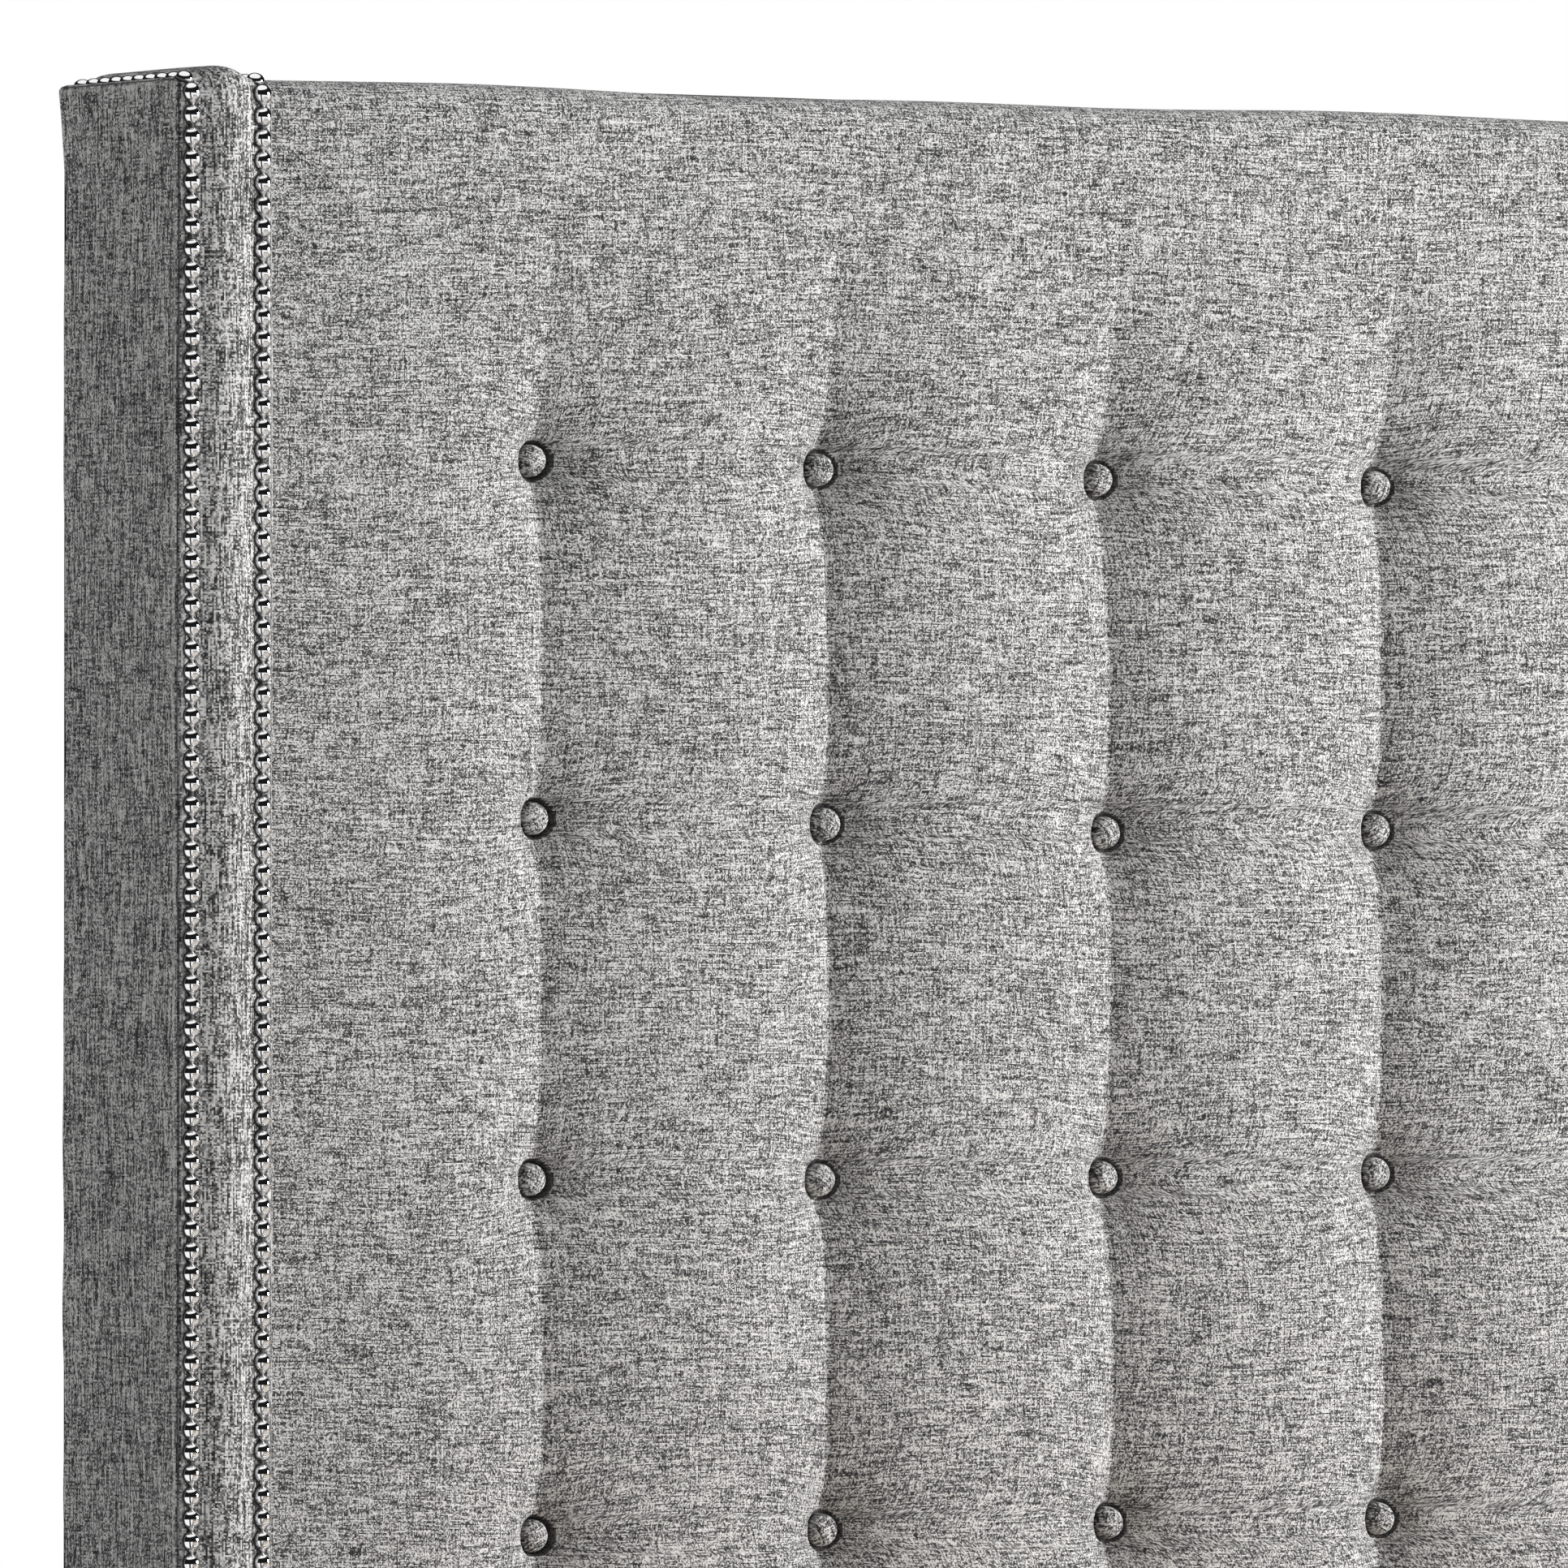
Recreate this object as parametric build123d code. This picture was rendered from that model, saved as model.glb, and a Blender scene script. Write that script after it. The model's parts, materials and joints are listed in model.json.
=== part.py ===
from build123d import *
from math import asin, cos, pi, radians, sin
import os

# A wingback bed with an upholstered, button-tufted headboard.
# X runs across the bed, the headboard stands at +Y and the foot at -Y, and Z is up.
# The origin is on the floor under the middle of the bed. All lengths are in millimetres.

# Mattress that the bed is made for
mattress_width = 1524.0
mattress_length = 2032.0
wing_room = 10.5                # beside the mattress, to each wing
foot_room = 12.0                # between the mattress and the footboard

# Headboard and wings, overall
headboard_height = 1372.0
wing_depth = 150.0
wing_width = 73.0
cover_thickness = 7.0           # padding and fabric on a wing
band_crown = 14.0               # padded front band at its middle
cover_roundness = 5.0           # outer edges of a wing
frame_roundness = 6.0           # top front corner of a wing's frame

# Headboard frame
back_thickness = 2.0
frame_depth = 38.0
post_width = 60.0
frame_rail_height = 90.0
bottom_rail_height = 110.0
tenon_thickness = 12.0
tenon_length = 30.0
tenon_shoulder = 10.0
plywood_thickness = 9.0
plywood_overlap = 20.0          # plywood over the bottom rail

# Tufted pad, measured forward from the plywood
pad_top_drop = 4.0              # pad's top under the wings' tops
pad_crest = 55.0
pad_valley = 36.0
pad_edge = 34.0
pad_roll = 22.0                 # rounded top and bottom edge
pad_overhang = 12.0             # pad above the plywood
pad_lift = 22.0                 # pad's bottom over the slats
pad_clearance = 0.3
button_columns = 6
button_rows = 4
column_share = 0.1397           # from column to column, of the panel's width
first_row_share = 0.776         # top row's place up the pad
last_row_share = 0.146          # bottom row's place up the pad
# how far up from the first row to the top, and how far the channel has faded there
fade_shares = ((0.25, 0.3), (0.5, 0.75), (0.75, 0.92))
roll_share_angles = (0, 35, 60, 80)

# Tuft buttons and their ties
button_radius = 11.0
button_rim = 2.5
button_height = 9.0
button_seat = 16.0              # pad left under a button
button_clearance = 0.5
tie_radius = 1.0
staple_width = 12.0
staple_height = 2.0
staple_thickness = 1.2

# Wing frame, a ladder of solid timber
stile_depth = 42.0
rung_height = 42.0
wing_windows = 3

# Nail strip: linked beads, with a separate nail at every fifth place
nail_inset = 10.7
bead_pitch = 13.9
bead_radius = 5.8
bead_height = 3.4
strip_width = 3.4
strip_thickness = 0.9
nail_every = 5
nail_shank_radius = 0.8
nail_length = 15.0
nail_rim = 0.5
nail_clearance = 0.05

# Side rails
rail_top = 350.0
rail_bottom = 120.0
rail_thickness = 38.0
rail_board_thickness = 25.0
rail_padding = 8.0              # over and under the board
rail_roundness = 8.0
rail_lip = 60.0                 # cover turned down inside the board
rail_clearance = 0.3

# Slats and the cleats that carry them
slat_top = 270.0
slat_thickness = 19.0
slat_width = 80.0
slat_count = 11
slat_end_gap = 6.0              # from a slat's end to the rail board
slat_row_margin = 22.0          # from the footboard and the wings
cleat_height = 40.0
cleat_width = 30.0
cleat_screw_count = 7
strap_width = 30.0
strap_thickness = 1.5
strap_share = 0.55              # strap's place between the middle and the slat's end

# Footboard
footboard_height = 380.0
footboard_core = 40.0
footboard_crown = 12.0
footboard_edge = 8.0
footboard_lining = 8.0
footboard_roundness = 6.0
leg_top_width = 50.0
leg_foot_width = 38.0
leg_inset = 60.0
leg_tenon_radius = 9.0
leg_tenon_length = 30.0

# Floor glides
glide_height = 12.0
glide_radius = 18.0
glide_chamfer = 2.0

# Rail hangers: a slot plate let into the frame, a hook plate on the rail's end
plate_width = 22.0
plate_height = 150.0
plate_thickness = 3.0
hook_thickness = 4.0
hook_reach = 4.0                # past the slot plate
hook_height = 18.0
hook_drop = 12.0
hook_offset = 30.0              # above and below the plate's middle
slot_clearance = 0.5
pocket_room = 3.0
screw_offset = 62.0

# Screws and bolts
screw_radius = 2.0
screw_head_radius = 4.0
screw_head_height = 2.4
screw_length = 25.0
cleat_screw_length = 48.0
screw_clearance = 0.1
bolt_radius = 4.0
bolt_length = 100.0
bolt_head_across = 13.0
bolt_head_height = 5.5
bolt_washer_radius = 11.0
bolt_washer_thickness = 1.6
bolt_bay_shares = (0.25, 0.75)

# Centre support
beam_width = 38.0
beam_height = 64.0
hanger_thickness = 3.0
hanger_depth = 45.0
hanger_clearance = 0.3
hanger_screw_offset = 20.0
centre_leg_share = 0.25         # leg's place along the bed, from the middle
tube_radius = 16.0
tube_wall = 2.0
flange_length = 92.0
flange_thickness = 3.0
flange_screw_offset = 34.0
tube_bottom = 47.0
insert_height = 15.0

# Levelling foot
stem_radius = 5.0
stem_clearance = 0.05
stem_neck_radius = 4.0
stem_length = 60.0
stem_ball_radius = 6.0
hexagon_across = 17.0
hexagon_height = 6.0
hexagon_lift = 3.0              # hexagon above the pad
foot_pad_radius = 22.0
foot_pad_rim = 5.0
foot_pad_height = 14.0
foot_pad_neck_radius = 11.0
socket_clearance = 0.1

# One overrun for every cut
overrun = 1.0

# Places that follow from the sizes above
half_panel = mattress_width / 2 + wing_room
half_width = half_panel + wing_width
wing_middle = half_panel + wing_width / 2
wing_frame_inner = half_panel + cover_thickness
wing_frame_outer = half_width - cover_thickness
wing_frame_top = headboard_height - band_crown
pad_back_depth = back_thickness + frame_depth + plywood_thickness
footboard_thickness = footboard_crown + footboard_core + footboard_lining
bed_length = pad_back_depth + pad_crest + mattress_length + foot_room + footboard_thickness
back_y = bed_length / 2
frame_back_y = back_y - back_thickness
frame_front_y = frame_back_y - frame_depth
pad_back_y = back_y - pad_back_depth
wing_front_y = back_y - wing_depth
wing_frame_front_y = wing_front_y + band_crown
foot_y = -bed_length / 2
footboard_front_y = foot_y + footboard_crown
footboard_back_y = footboard_front_y + footboard_core
pad_top = headboard_height - pad_top_drop
plywood_top = pad_top - pad_overhang
pad_bottom = slat_top + pad_lift
pad_height = pad_top - pad_bottom
first_row_z = pad_bottom + pad_height * first_row_share
row_spacing = pad_height * (first_row_share - last_row_share) / (button_rows - 1)
row_places = [first_row_z - row * row_spacing for row in range(button_rows)]
middle_column = (button_columns - 1) / 2
column_spacing = 2 * half_panel * column_share
column_places = [(column - middle_column) * column_spacing for column in range(button_columns)]
slat_bottom = slat_top - slat_thickness
beam_bottom = slat_bottom - beam_height
cleat_bottom = slat_bottom - cleat_height
bottom_rail_z = slat_bottom - bottom_rail_height + plywood_overlap
top_rail_z = plywood_top - frame_rail_height
middle_rows = row_places[button_rows // 2 - 1:button_rows // 2 + 1]
middle_rail_z = sum(middle_rows) / len(middle_rows) - frame_rail_height / 2
rail_board_inner = wing_middle - rail_board_thickness / 2
rail_front_y = wing_frame_front_y - plate_thickness
rail_foot_y = footboard_back_y + plate_thickness
rail_middle_z = (rail_top + rail_bottom) / 2
sides = {"left": -1, "right": 1}
centre_legs = {"head": bed_length * centre_leg_share, "foot": -bed_length * centre_leg_share}


def block(x0, x1, y0, y1, z0, z1):
    """Box between two corners, in either order along X and Y."""
    width, depth = abs(x1 - x0), abs(y1 - y0)
    middle = ((x0 + x1) / 2, (y0 + y1) / 2, (z0 + z1) / 2)
    return Pos(*middle) * Box(width, depth, z1 - z0)


def rod(radius, start, direction, length):
    """Cylinder from a point along a direction."""
    plane = Plane(origin=start, z_dir=direction)
    return plane.location * Cylinder(radius, length, align=(Align.CENTER, Align.CENTER, Align.MIN))


def group(solids):
    """Separate solids kept together under one name."""
    return Compound(children=list(solids))


def turned(points):
    """Solid of revolution about Z from its half outline."""
    face = make_face(Plane.XZ * Polyline(*points, close=True))
    return revolve(face, Axis.Z)


def dome(radius, rim, height):
    """Spherical cap on a short round rim, standing on the origin."""
    rise = height - rim
    sphere = (radius ** 2 + rise ** 2) / (2 * rise)
    half_angle = asin(radius / sphere) / 2
    shoulder = (sphere * sin(half_angle), height - sphere * (1 - cos(half_angle)))
    outline = make_face([
        Line((0, 0), (radius, 0)),
        Line((radius, 0), (radius, rim)),
        ThreePointArc((radius, rim), shoulder, (0, height)),
        Line((0, height), (0, 0)),
    ])
    return revolve(Plane.XZ * outline, Axis.Z)


def mirror_side(solid, side):
    """The right-hand piece, or its mirror image on the left."""
    return solid if side > 0 else mirror(solid, Plane.YZ)


# Screws point along -Z, with their heads flush at zero.
def wood_screw(length, clearance=0.0):
    neck = screw_radius + clearance
    return turned([
        (0, 0),
        (screw_head_radius + clearance, 0),
        (neck, -screw_head_height),
        (neck, -length - clearance),
        (0, -length - clearance),
    ])


def placed(solid, point, outward):
    """Solid made about the origin, moved to a point with its +Z turned outward."""
    return Plane(origin=point, z_dir=outward).location * solid


def coach_bolt(clearance=0.0):
    shank = rod(bolt_radius + clearance, (0, 0, 0), (0, 0, -1), bolt_length + clearance)
    if clearance:
        return shank
    washer = rod(bolt_washer_radius, (0, 0, 0), (0, 0, 1), bolt_washer_thickness)
    outline = RegularPolygon(bolt_head_across / 2, 6, major_radius=False)
    head = Pos(0, 0, bolt_washer_thickness) * extrude(outline, bolt_head_height)
    return shank + washer + head


# Places where screws and bolts go: point and outward direction of the head
def plate_screw_places():
    places = []
    for side in sides.values():
        for step in (-1, 0, 1):
            x = side * wing_middle
            z = rail_middle_z + step * screw_offset
            places.append(((x, wing_frame_front_y, z), (0, -1, 0)))
            places.append(((x, rail_front_y, z), (0, 1, 0)))
            places.append(((x, footboard_back_y, z), (0, 1, 0)))
            places.append(((x, rail_foot_y, z), (0, -1, 0)))
    return places


def hanger_screw_places():
    middle_z = (slat_bottom + beam_bottom) / 2
    places = []
    for step in (-1, 1):
        z = middle_z + step * hanger_screw_offset
        places.append(((0, footboard_back_y + hanger_thickness, z), (0, 1, 0)))
        places.append(((0, frame_front_y - hanger_thickness, z), (0, -1, 0)))
    return places


def flange_screw_places():
    places = []
    for y in centre_legs.values():
        for step in (-1, 1):
            point = (0, y + step * flange_screw_offset, beam_bottom - flange_thickness)
            places.append((point, (0, 0, -1)))
    return places


def cleat_screw_places():
    pitch = (rail_front_y - rail_foot_y) / cleat_screw_count
    x = rail_board_inner - cleat_width
    z = slat_bottom - cleat_height / 2
    places = []
    for side in sides.values():
        for number in range(cleat_screw_count):
            y = rail_foot_y + pitch * (number + 0.5)
            places.append(((side * x, y, z), (-side, 0, 0)))
    return places


def bolt_places():
    bays = (
        (bottom_rail_z + bottom_rail_height, middle_rail_z),
        (middle_rail_z + frame_rail_height, top_rail_z),
    )
    places = []
    for side in sides.values():
        for low, high in bays:
            for share in bolt_bay_shares:
                point = (side * (wing_frame_inner - post_width),
                         frame_back_y - frame_depth / 2,
                         low + (high - low) * share)
                places.append((point, (-side, 0, 0)))
    return places


def small_screws():
    places = plate_screw_places() + hanger_screw_places() + flange_screw_places()
    return [placed(wood_screw(screw_length), *place) for place in places]


def small_screw_bores():
    places = plate_screw_places() + hanger_screw_places() + flange_screw_places()
    return [placed(wood_screw(screw_length, screw_clearance), *place) for place in places]


def cleat_screws():
    return [placed(wood_screw(cleat_screw_length), *place) for place in cleat_screw_places()]


def cleat_screw_bores():
    bore = wood_screw(cleat_screw_length, screw_clearance)
    return [placed(bore, *place) for place in cleat_screw_places()]


def bolts():
    return [placed(coach_bolt(), *place) for place in bolt_places()]


def bolt_bores():
    return [placed(coach_bolt(screw_clearance), *place) for place in bolt_places()]


# Headboard frame
def post(side):
    inner = wing_frame_inner - post_width
    solid = block(inner, wing_frame_inner, frame_front_y, frame_back_y, bottom_rail_z, plywood_top)
    for z, height in frame_rails():
        solid -= tenon(z, height, screw_clearance)
    return mirror_side(solid, side) - bolt_bores()


def frame_rails():
    return (
        (bottom_rail_z, bottom_rail_height),
        (middle_rail_z, frame_rail_height),
        (top_rail_z, frame_rail_height),
    )


def tenon(z, height, clearance=0.0):
    inner = wing_frame_inner - post_width
    middle_y = (frame_front_y + frame_back_y) / 2
    half = tenon_thickness / 2 + clearance
    return block(
        inner, inner + tenon_length + clearance,
        middle_y - half, middle_y + half,
        z + tenon_shoulder - clearance, z + height - tenon_shoulder + clearance,
    )


def frame_rail(z, height):
    inner = wing_frame_inner - post_width
    solid = block(-inner, inner, frame_front_y, frame_back_y, z, z + height)
    end = tenon(z, height)
    return solid + end + mirror(end, Plane.YZ)


def plywood():
    low = bottom_rail_z + bottom_rail_height - plywood_overlap
    sheet = block(-wing_frame_inner, wing_frame_inner, pad_back_y, frame_front_y, low, plywood_top)
    return sheet - tie_bores()


def back_cover():
    sheet = block(-half_width, half_width, frame_back_y, back_y, glide_height, wing_frame_top)
    cap_half = half_panel - pad_clearance
    cap = block(-cap_half, cap_half, pad_back_y, frame_back_y, plywood_top, pad_top)
    return sheet + cap


# Tufted pad: cross-sections joined up the height, with a channel at each column of buttons
def pad_section(z, crest, valley, edge):
    half = half_panel - pad_clearance
    joints = [(-half, edge)] + [(x, valley) for x in column_places] + [(half, edge)]
    lines = []
    for (x0, t0), (x1, t1) in zip(joints, joints[1:]):
        start = (x0, pad_back_y - t0)
        middle = ((x0 + x1) / 2, pad_back_y - crest)
        lines.append(ThreePointArc(start, middle, (x1, pad_back_y - t1)))
    right = (half, pad_back_y)
    left = (-half, pad_back_y)
    lines.append(Line((half, pad_back_y - edge), right))
    lines.append(Line(right, left))
    lines.append(Line(left, (-half, pad_back_y - edge)))
    return Pos(0, 0, z) * make_face(lines)


def pad_levels():
    """Height, crest, valley and edge thickness of each cross-section, from the bottom up."""
    levels = []
    for angle in reversed(roll_share_angles):
        lost = pad_roll * (1 - cos(radians(angle)))
        z = pad_bottom + pad_roll * (1 - sin(radians(angle)))
        levels.append((z, pad_crest - lost, pad_valley - lost, pad_edge - lost))
    for z in reversed(row_places):
        levels.append((z, pad_crest, button_seat, pad_edge))
        if z < first_row_z:
            levels.append((z + row_spacing / 2, pad_crest, pad_valley, pad_edge))
    top_run = pad_top - pad_roll - first_row_z
    for share, faded in fade_shares:
        valley = pad_valley + (pad_crest - pad_valley) * faded
        levels.append((first_row_z + top_run * share, pad_crest, valley, pad_edge))
    for angle in roll_share_angles:
        lost = pad_roll * (1 - cos(radians(angle)))
        z = pad_top - pad_roll * (1 - sin(radians(angle)))
        levels.append((z, pad_crest - lost, pad_crest - tie_radius - lost, pad_edge - lost))
    return levels


def button_points(depth):
    return [(x, pad_back_y - depth, z) for z in row_places for x in column_places]


def tufted_pad():
    solid = loft([pad_section(*level) for level in pad_levels()], ruled=True)
    pocket = button_radius + button_clearance
    pockets = [rod(pocket, point, (0, -1, 0), pad_crest) for point in button_points(button_seat)]
    return solid - pockets - tie_bores()


def tuft_button():
    """Domed button standing on its back at the origin, along +Z."""
    return dome(button_radius, button_rim, button_height)


def tuft_buttons():
    button = tuft_button()
    return group(placed(button, point, (0, -1, 0)) for point in button_points(button_seat))


def tuft_ties():
    """Twine from each button through pad and plywood, stapled behind."""
    ties = []
    length = button_seat + plywood_thickness
    for x, y, z in button_points(button_seat):
        twine = rod(tie_radius, (x, y, z), (0, 1, 0), length)
        back = y + length
        staple = block(
            x - staple_width / 2, x + staple_width / 2,
            back, back + staple_thickness,
            z - staple_height / 2, z + staple_height / 2,
        )
        ties.append(twine + staple)
    return group(ties)


def tie_bores():
    length = button_seat + plywood_thickness + overrun
    radius = tie_radius + screw_clearance
    return [rod(radius, point, (0, 1, 0), length) for point in button_points(button_seat)]


# Wings, made on the right and mirrored
def wing_profile(front_y, top_z, roundness, low):
    """Side view of a wing with its top front corner rounded."""
    start = (front_y + roundness, top_z)
    end = (front_y, top_z - roundness)
    middle = (front_y + roundness * (1 - cos(pi / 4)), top_z - roundness * (1 - sin(pi / 4)))
    lines = [
        Line((frame_back_y, low), (frame_back_y, top_z)),
        Line((frame_back_y, top_z), start),
        ThreePointArc(start, middle, end),
        Line(end, (front_y, low)),
        Line((front_y, low), (frame_back_y, low)),
    ]
    return Plane.YZ * make_face(lines)


def wing_core():
    profile = wing_profile(wing_frame_front_y, wing_frame_top, frame_roundness, glide_height)
    return Pos(wing_frame_inner, 0, 0) * extrude(profile, wing_frame_outer - wing_frame_inner)


def wing_envelope():
    front = wing_frame_front_y - cover_thickness
    top = wing_frame_top + cover_thickness
    profile = wing_profile(front, top, frame_roundness + cover_thickness, glide_height)
    solid = Pos(half_panel, 0, 0) * extrude(profile, wing_width)
    inside = frame_back_y - overrun
    edges = [edge for edge in solid.edges()
             if abs(edge.tangent_at(0.5).X) < 0.5
             and edge.center().Y < inside
             and edge.center().Z > glide_height + overrun]
    return fillet(edges, cover_roundness)


def wing_frame(side):
    solid = wing_core()
    low = rail_top + rung_height
    bay = (wing_frame_top - low) / wing_windows
    for number in range(wing_windows):
        z = low + number * bay
        solid -= block(
            wing_frame_inner - overrun, wing_frame_outer + overrun,
            wing_frame_front_y + stile_depth, frame_back_y - stile_depth,
            z, z + bay - rung_height,
        )
    solid = mirror_side(solid, side)
    return solid - nail_bores(side) - bolt_bores() - hanger_cuts()


def wing_cover(side, inner):
    shell = wing_envelope() - wing_core()
    line = half_panel + nail_inset if inner else half_width - nail_inset
    limit = half_panel if inner else half_width
    kept = block(line, limit, wing_front_y, frame_back_y, 0, headboard_height)
    solid = shell & kept
    if inner:
        solid -= block(
            half_panel - overrun, wing_frame_inner,
            pad_back_y, back_y,
            0, plywood_top,
        )
    return mirror_side(solid, side) - nail_bores(side)


def band_section():
    """Padded band across the front of a wing, flat under the nail strips and crowned between."""
    left = half_panel + nail_inset
    right = half_width - nail_inset
    ledge = bead_radius + pad_clearance
    return make_face([
        Line((left, 0), (right, 0)),
        Line((right, 0), (right, cover_thickness)),
        Line((right, cover_thickness), (right - ledge, cover_thickness)),
        ThreePointArc(
            (right - ledge, cover_thickness),
            (wing_middle, band_crown),
            (left + ledge, cover_thickness),
        ),
        Line((left + ledge, cover_thickness), (left, cover_thickness)),
        Line((left, cover_thickness), (left, 0)),
    ])


def wing_front_band(side):
    corner_y = wing_frame_front_y + frame_roundness
    corner_z = wing_frame_top - frame_roundness
    front = Plane(origin=(0, wing_frame_front_y, corner_z), x_dir=(1, 0, 0), z_dir=(0, 0, 1))
    section = front * mirror(band_section(), Plane.XZ)
    upright = extrude(section, glide_height - corner_z)
    turn_axis = Axis((0, corner_y, corner_z), (1, 0, 0))
    corner = revolve(section, turn_axis, -90)
    over = Plane(origin=(0, corner_y, wing_frame_top), x_dir=(1, 0, 0), z_dir=(0, -1, 0))
    top = extrude(over * band_section(), corner_y - frame_back_y)
    solid = upright + corner + top
    window = rail_thickness / 2 + rail_clearance
    solid -= block(
        wing_middle - window, wing_middle + window,
        wing_front_y - overrun, wing_frame_front_y + overrun,
        rail_bottom - rail_clearance, rail_top + rail_clearance,
    )
    return mirror_side(solid, side) - nail_bores(side)


# Nail strips follow the wing's front edge up, round the corner and back along the top
strip_front_y = wing_frame_front_y - cover_thickness
strip_top_z = wing_frame_top + cover_thickness
strip_corner = frame_roundness + cover_thickness
strip_upright = strip_top_z - strip_corner - glide_height
strip_turn = strip_corner * pi / 2
strip_run = frame_back_y - strip_front_y - strip_corner
strip_length = strip_upright + strip_turn + strip_run


def strip_point(distance):
    """Point on the strip's path in Y and Z, and the direction that faces out there."""
    if distance <= strip_upright:
        return strip_front_y, glide_height + distance, (0, -1, 0)
    centre_y = strip_front_y + strip_corner
    centre_z = strip_top_z - strip_corner
    angle = (distance - strip_upright) / strip_corner
    if distance <= strip_upright + strip_turn:
        out = (0, -cos(angle), sin(angle))
        return centre_y + strip_corner * out[1], centre_z + strip_corner * out[2], out
    return centre_y + distance - strip_upright - strip_turn, strip_top_z, (0, 0, 1)


def strip_places():
    count = int((strip_length - bead_pitch) / bead_pitch) + 1
    return [strip_point(bead_pitch * (number + 0.5)) for number in range(count)]


def nail_line(side, inner):
    return side * (half_panel + nail_inset if inner else half_width - nail_inset)


def bead(base, height):
    """Low dome of the trim, on a round base."""
    return dome(bead_radius, base, height)


def nail_strip(side, inner):
    x = nail_line(side, inner)
    half = strip_width / 2
    centre_y = strip_front_y + strip_corner
    centre_z = strip_top_z - strip_corner
    low_y, high_z = strip_front_y - strip_thickness, strip_top_z + strip_thickness
    last = len(strip_places()) * bead_pitch - strip_upright - strip_turn
    upright = block(x - half, x + half, low_y, strip_front_y, glide_height, centre_z)
    top = block(x - half, x + half, centre_y, centre_y + last, strip_top_z, high_z)
    ring = rod(strip_corner + strip_thickness, (x - half, centre_y, centre_z), (1, 0, 0), strip_width)
    ring -= rod(strip_corner, (x - half, centre_y, centre_z), (1, 0, 0), strip_width)
    ring &= block(x - half, x + half, low_y, centre_y, centre_z, high_z)
    link = bead(strip_thickness, bead_height)
    beads = []
    holes = []
    for number, (y, z, out) in enumerate(strip_places()):
        if number % nail_every:
            beads.append(placed(link, (x, y, z), out))
        else:
            start = (x, y - out[1] * overrun, z - out[2] * overrun)
            holes.append(rod(nail_shank_radius + nail_clearance, start, out, 3 * overrun))
    return (upright + ring + top + beads) - holes


def strip_nail(clearance=0.0):
    """Nail with its head sitting on the strip and its shank pointing along -Z."""
    shank = rod(nail_shank_radius + clearance, (0, 0, 0), (0, 0, -1), nail_length + clearance)
    if clearance:
        return shank
    return shank + bead(nail_rim, bead_height)


def nail_places(side):
    places = []
    for inner in (False, True):
        x = nail_line(side, inner)
        for number, (y, z, out) in enumerate(strip_places()):
            if number % nail_every == 0:
                lift = strip_thickness
                places.append(((x, y + out[1] * lift, z + out[2] * lift), out))
    return places


def strip_nails():
    places = nail_places(-1) + nail_places(1)
    return group(placed(strip_nail(), *place) for place in places)


def nail_bores(side):
    return [placed(strip_nail(nail_clearance), *place) for place in nail_places(side)]


# Side rails
def rail_profile(width, low, high, roundness):
    outline = RectangleRounded(width, high - low, roundness)
    return Plane.XZ * Pos(wing_middle, (low + high) / 2) * outline


def rail_board(side):
    solid = block(
        rail_board_inner, rail_board_inner + rail_board_thickness,
        rail_foot_y, rail_front_y,
        rail_bottom + rail_padding, rail_top - rail_padding,
    )
    return mirror_side(solid, side) - small_screw_bores() - cleat_screw_bores()


def rail_cover(side):
    profile = rail_profile(rail_thickness, rail_bottom, rail_top, rail_roundness)
    solid = Pos(0, rail_front_y, 0) * extrude(profile, rail_front_y - rail_foot_y)
    solid -= block(
        rail_board_inner, rail_board_inner + rail_board_thickness,
        rail_foot_y - overrun, rail_front_y + overrun,
        rail_bottom + rail_padding, rail_top - rail_padding,
    )
    solid -= block(
        wing_middle - rail_thickness, rail_board_inner,
        rail_foot_y - overrun, rail_front_y + overrun,
        rail_bottom + rail_padding, rail_top - rail_lip,
    )
    return mirror_side(solid, side)


def slat_cleat(side):
    solid = block(
        rail_board_inner - cleat_width, rail_board_inner,
        footboard_back_y + footboard_lining + rail_clearance, wing_front_y - rail_clearance,
        cleat_bottom, slat_bottom,
    )
    return mirror_side(solid, side) - cleat_screw_bores()


# Rail hangers
def hanger_ends():
    """Face of the frame, direction from it towards the rail, for the headboard and the foot."""
    return ((wing_frame_front_y, -1), (footboard_back_y, 1))


def plate_block(x, y, toward, thickness, width, height):
    y0, y1 = sorted((y, y + toward * thickness))
    return block(
        x - width / 2, x + width / 2, y0, y1,
        rail_middle_z - height / 2, rail_middle_z + height / 2,
    )


def hook_solid(x, y, toward, clearance=0.0):
    """Hook that reaches through the slot plate and drops behind it."""
    solids = []
    for step in (-1, 1):
        z = rail_middle_z + step * hook_offset
        half = hook_thickness / 2 + clearance
        reach = plate_thickness + hook_reach
        y0, y1 = sorted((y, y - toward * reach))
        arm = block(x - half, x + half, y0, y1, z - clearance, z + hook_height + clearance)
        y0, y1 = sorted((y - toward * (plate_thickness + slot_clearance), y - toward * reach))
        drop = block(x - half, x + half, y0, y1, z - hook_drop, z + hook_height)
        solids.append(arm if clearance else arm + drop)
    return solids


def hook_plates():
    plates = []
    bores = small_screw_bores()
    for side in sides.values():
        for y, toward in hanger_ends():
            x = side * wing_middle
            plate = plate_block(x, y, toward, plate_thickness, plate_width, plate_height)
            plates.append((plate + hook_solid(x, y, toward)) - bores)
    return group(plates)


def slot_plates():
    plates = []
    bores = small_screw_bores()
    for side in sides.values():
        for y, toward in hanger_ends():
            x = side * wing_middle
            plate = plate_block(x, y, -toward, plate_thickness, plate_width, plate_height)
            plates.append(plate - hook_solid(x, y, toward, slot_clearance) - bores)
    return group(plates)


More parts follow.
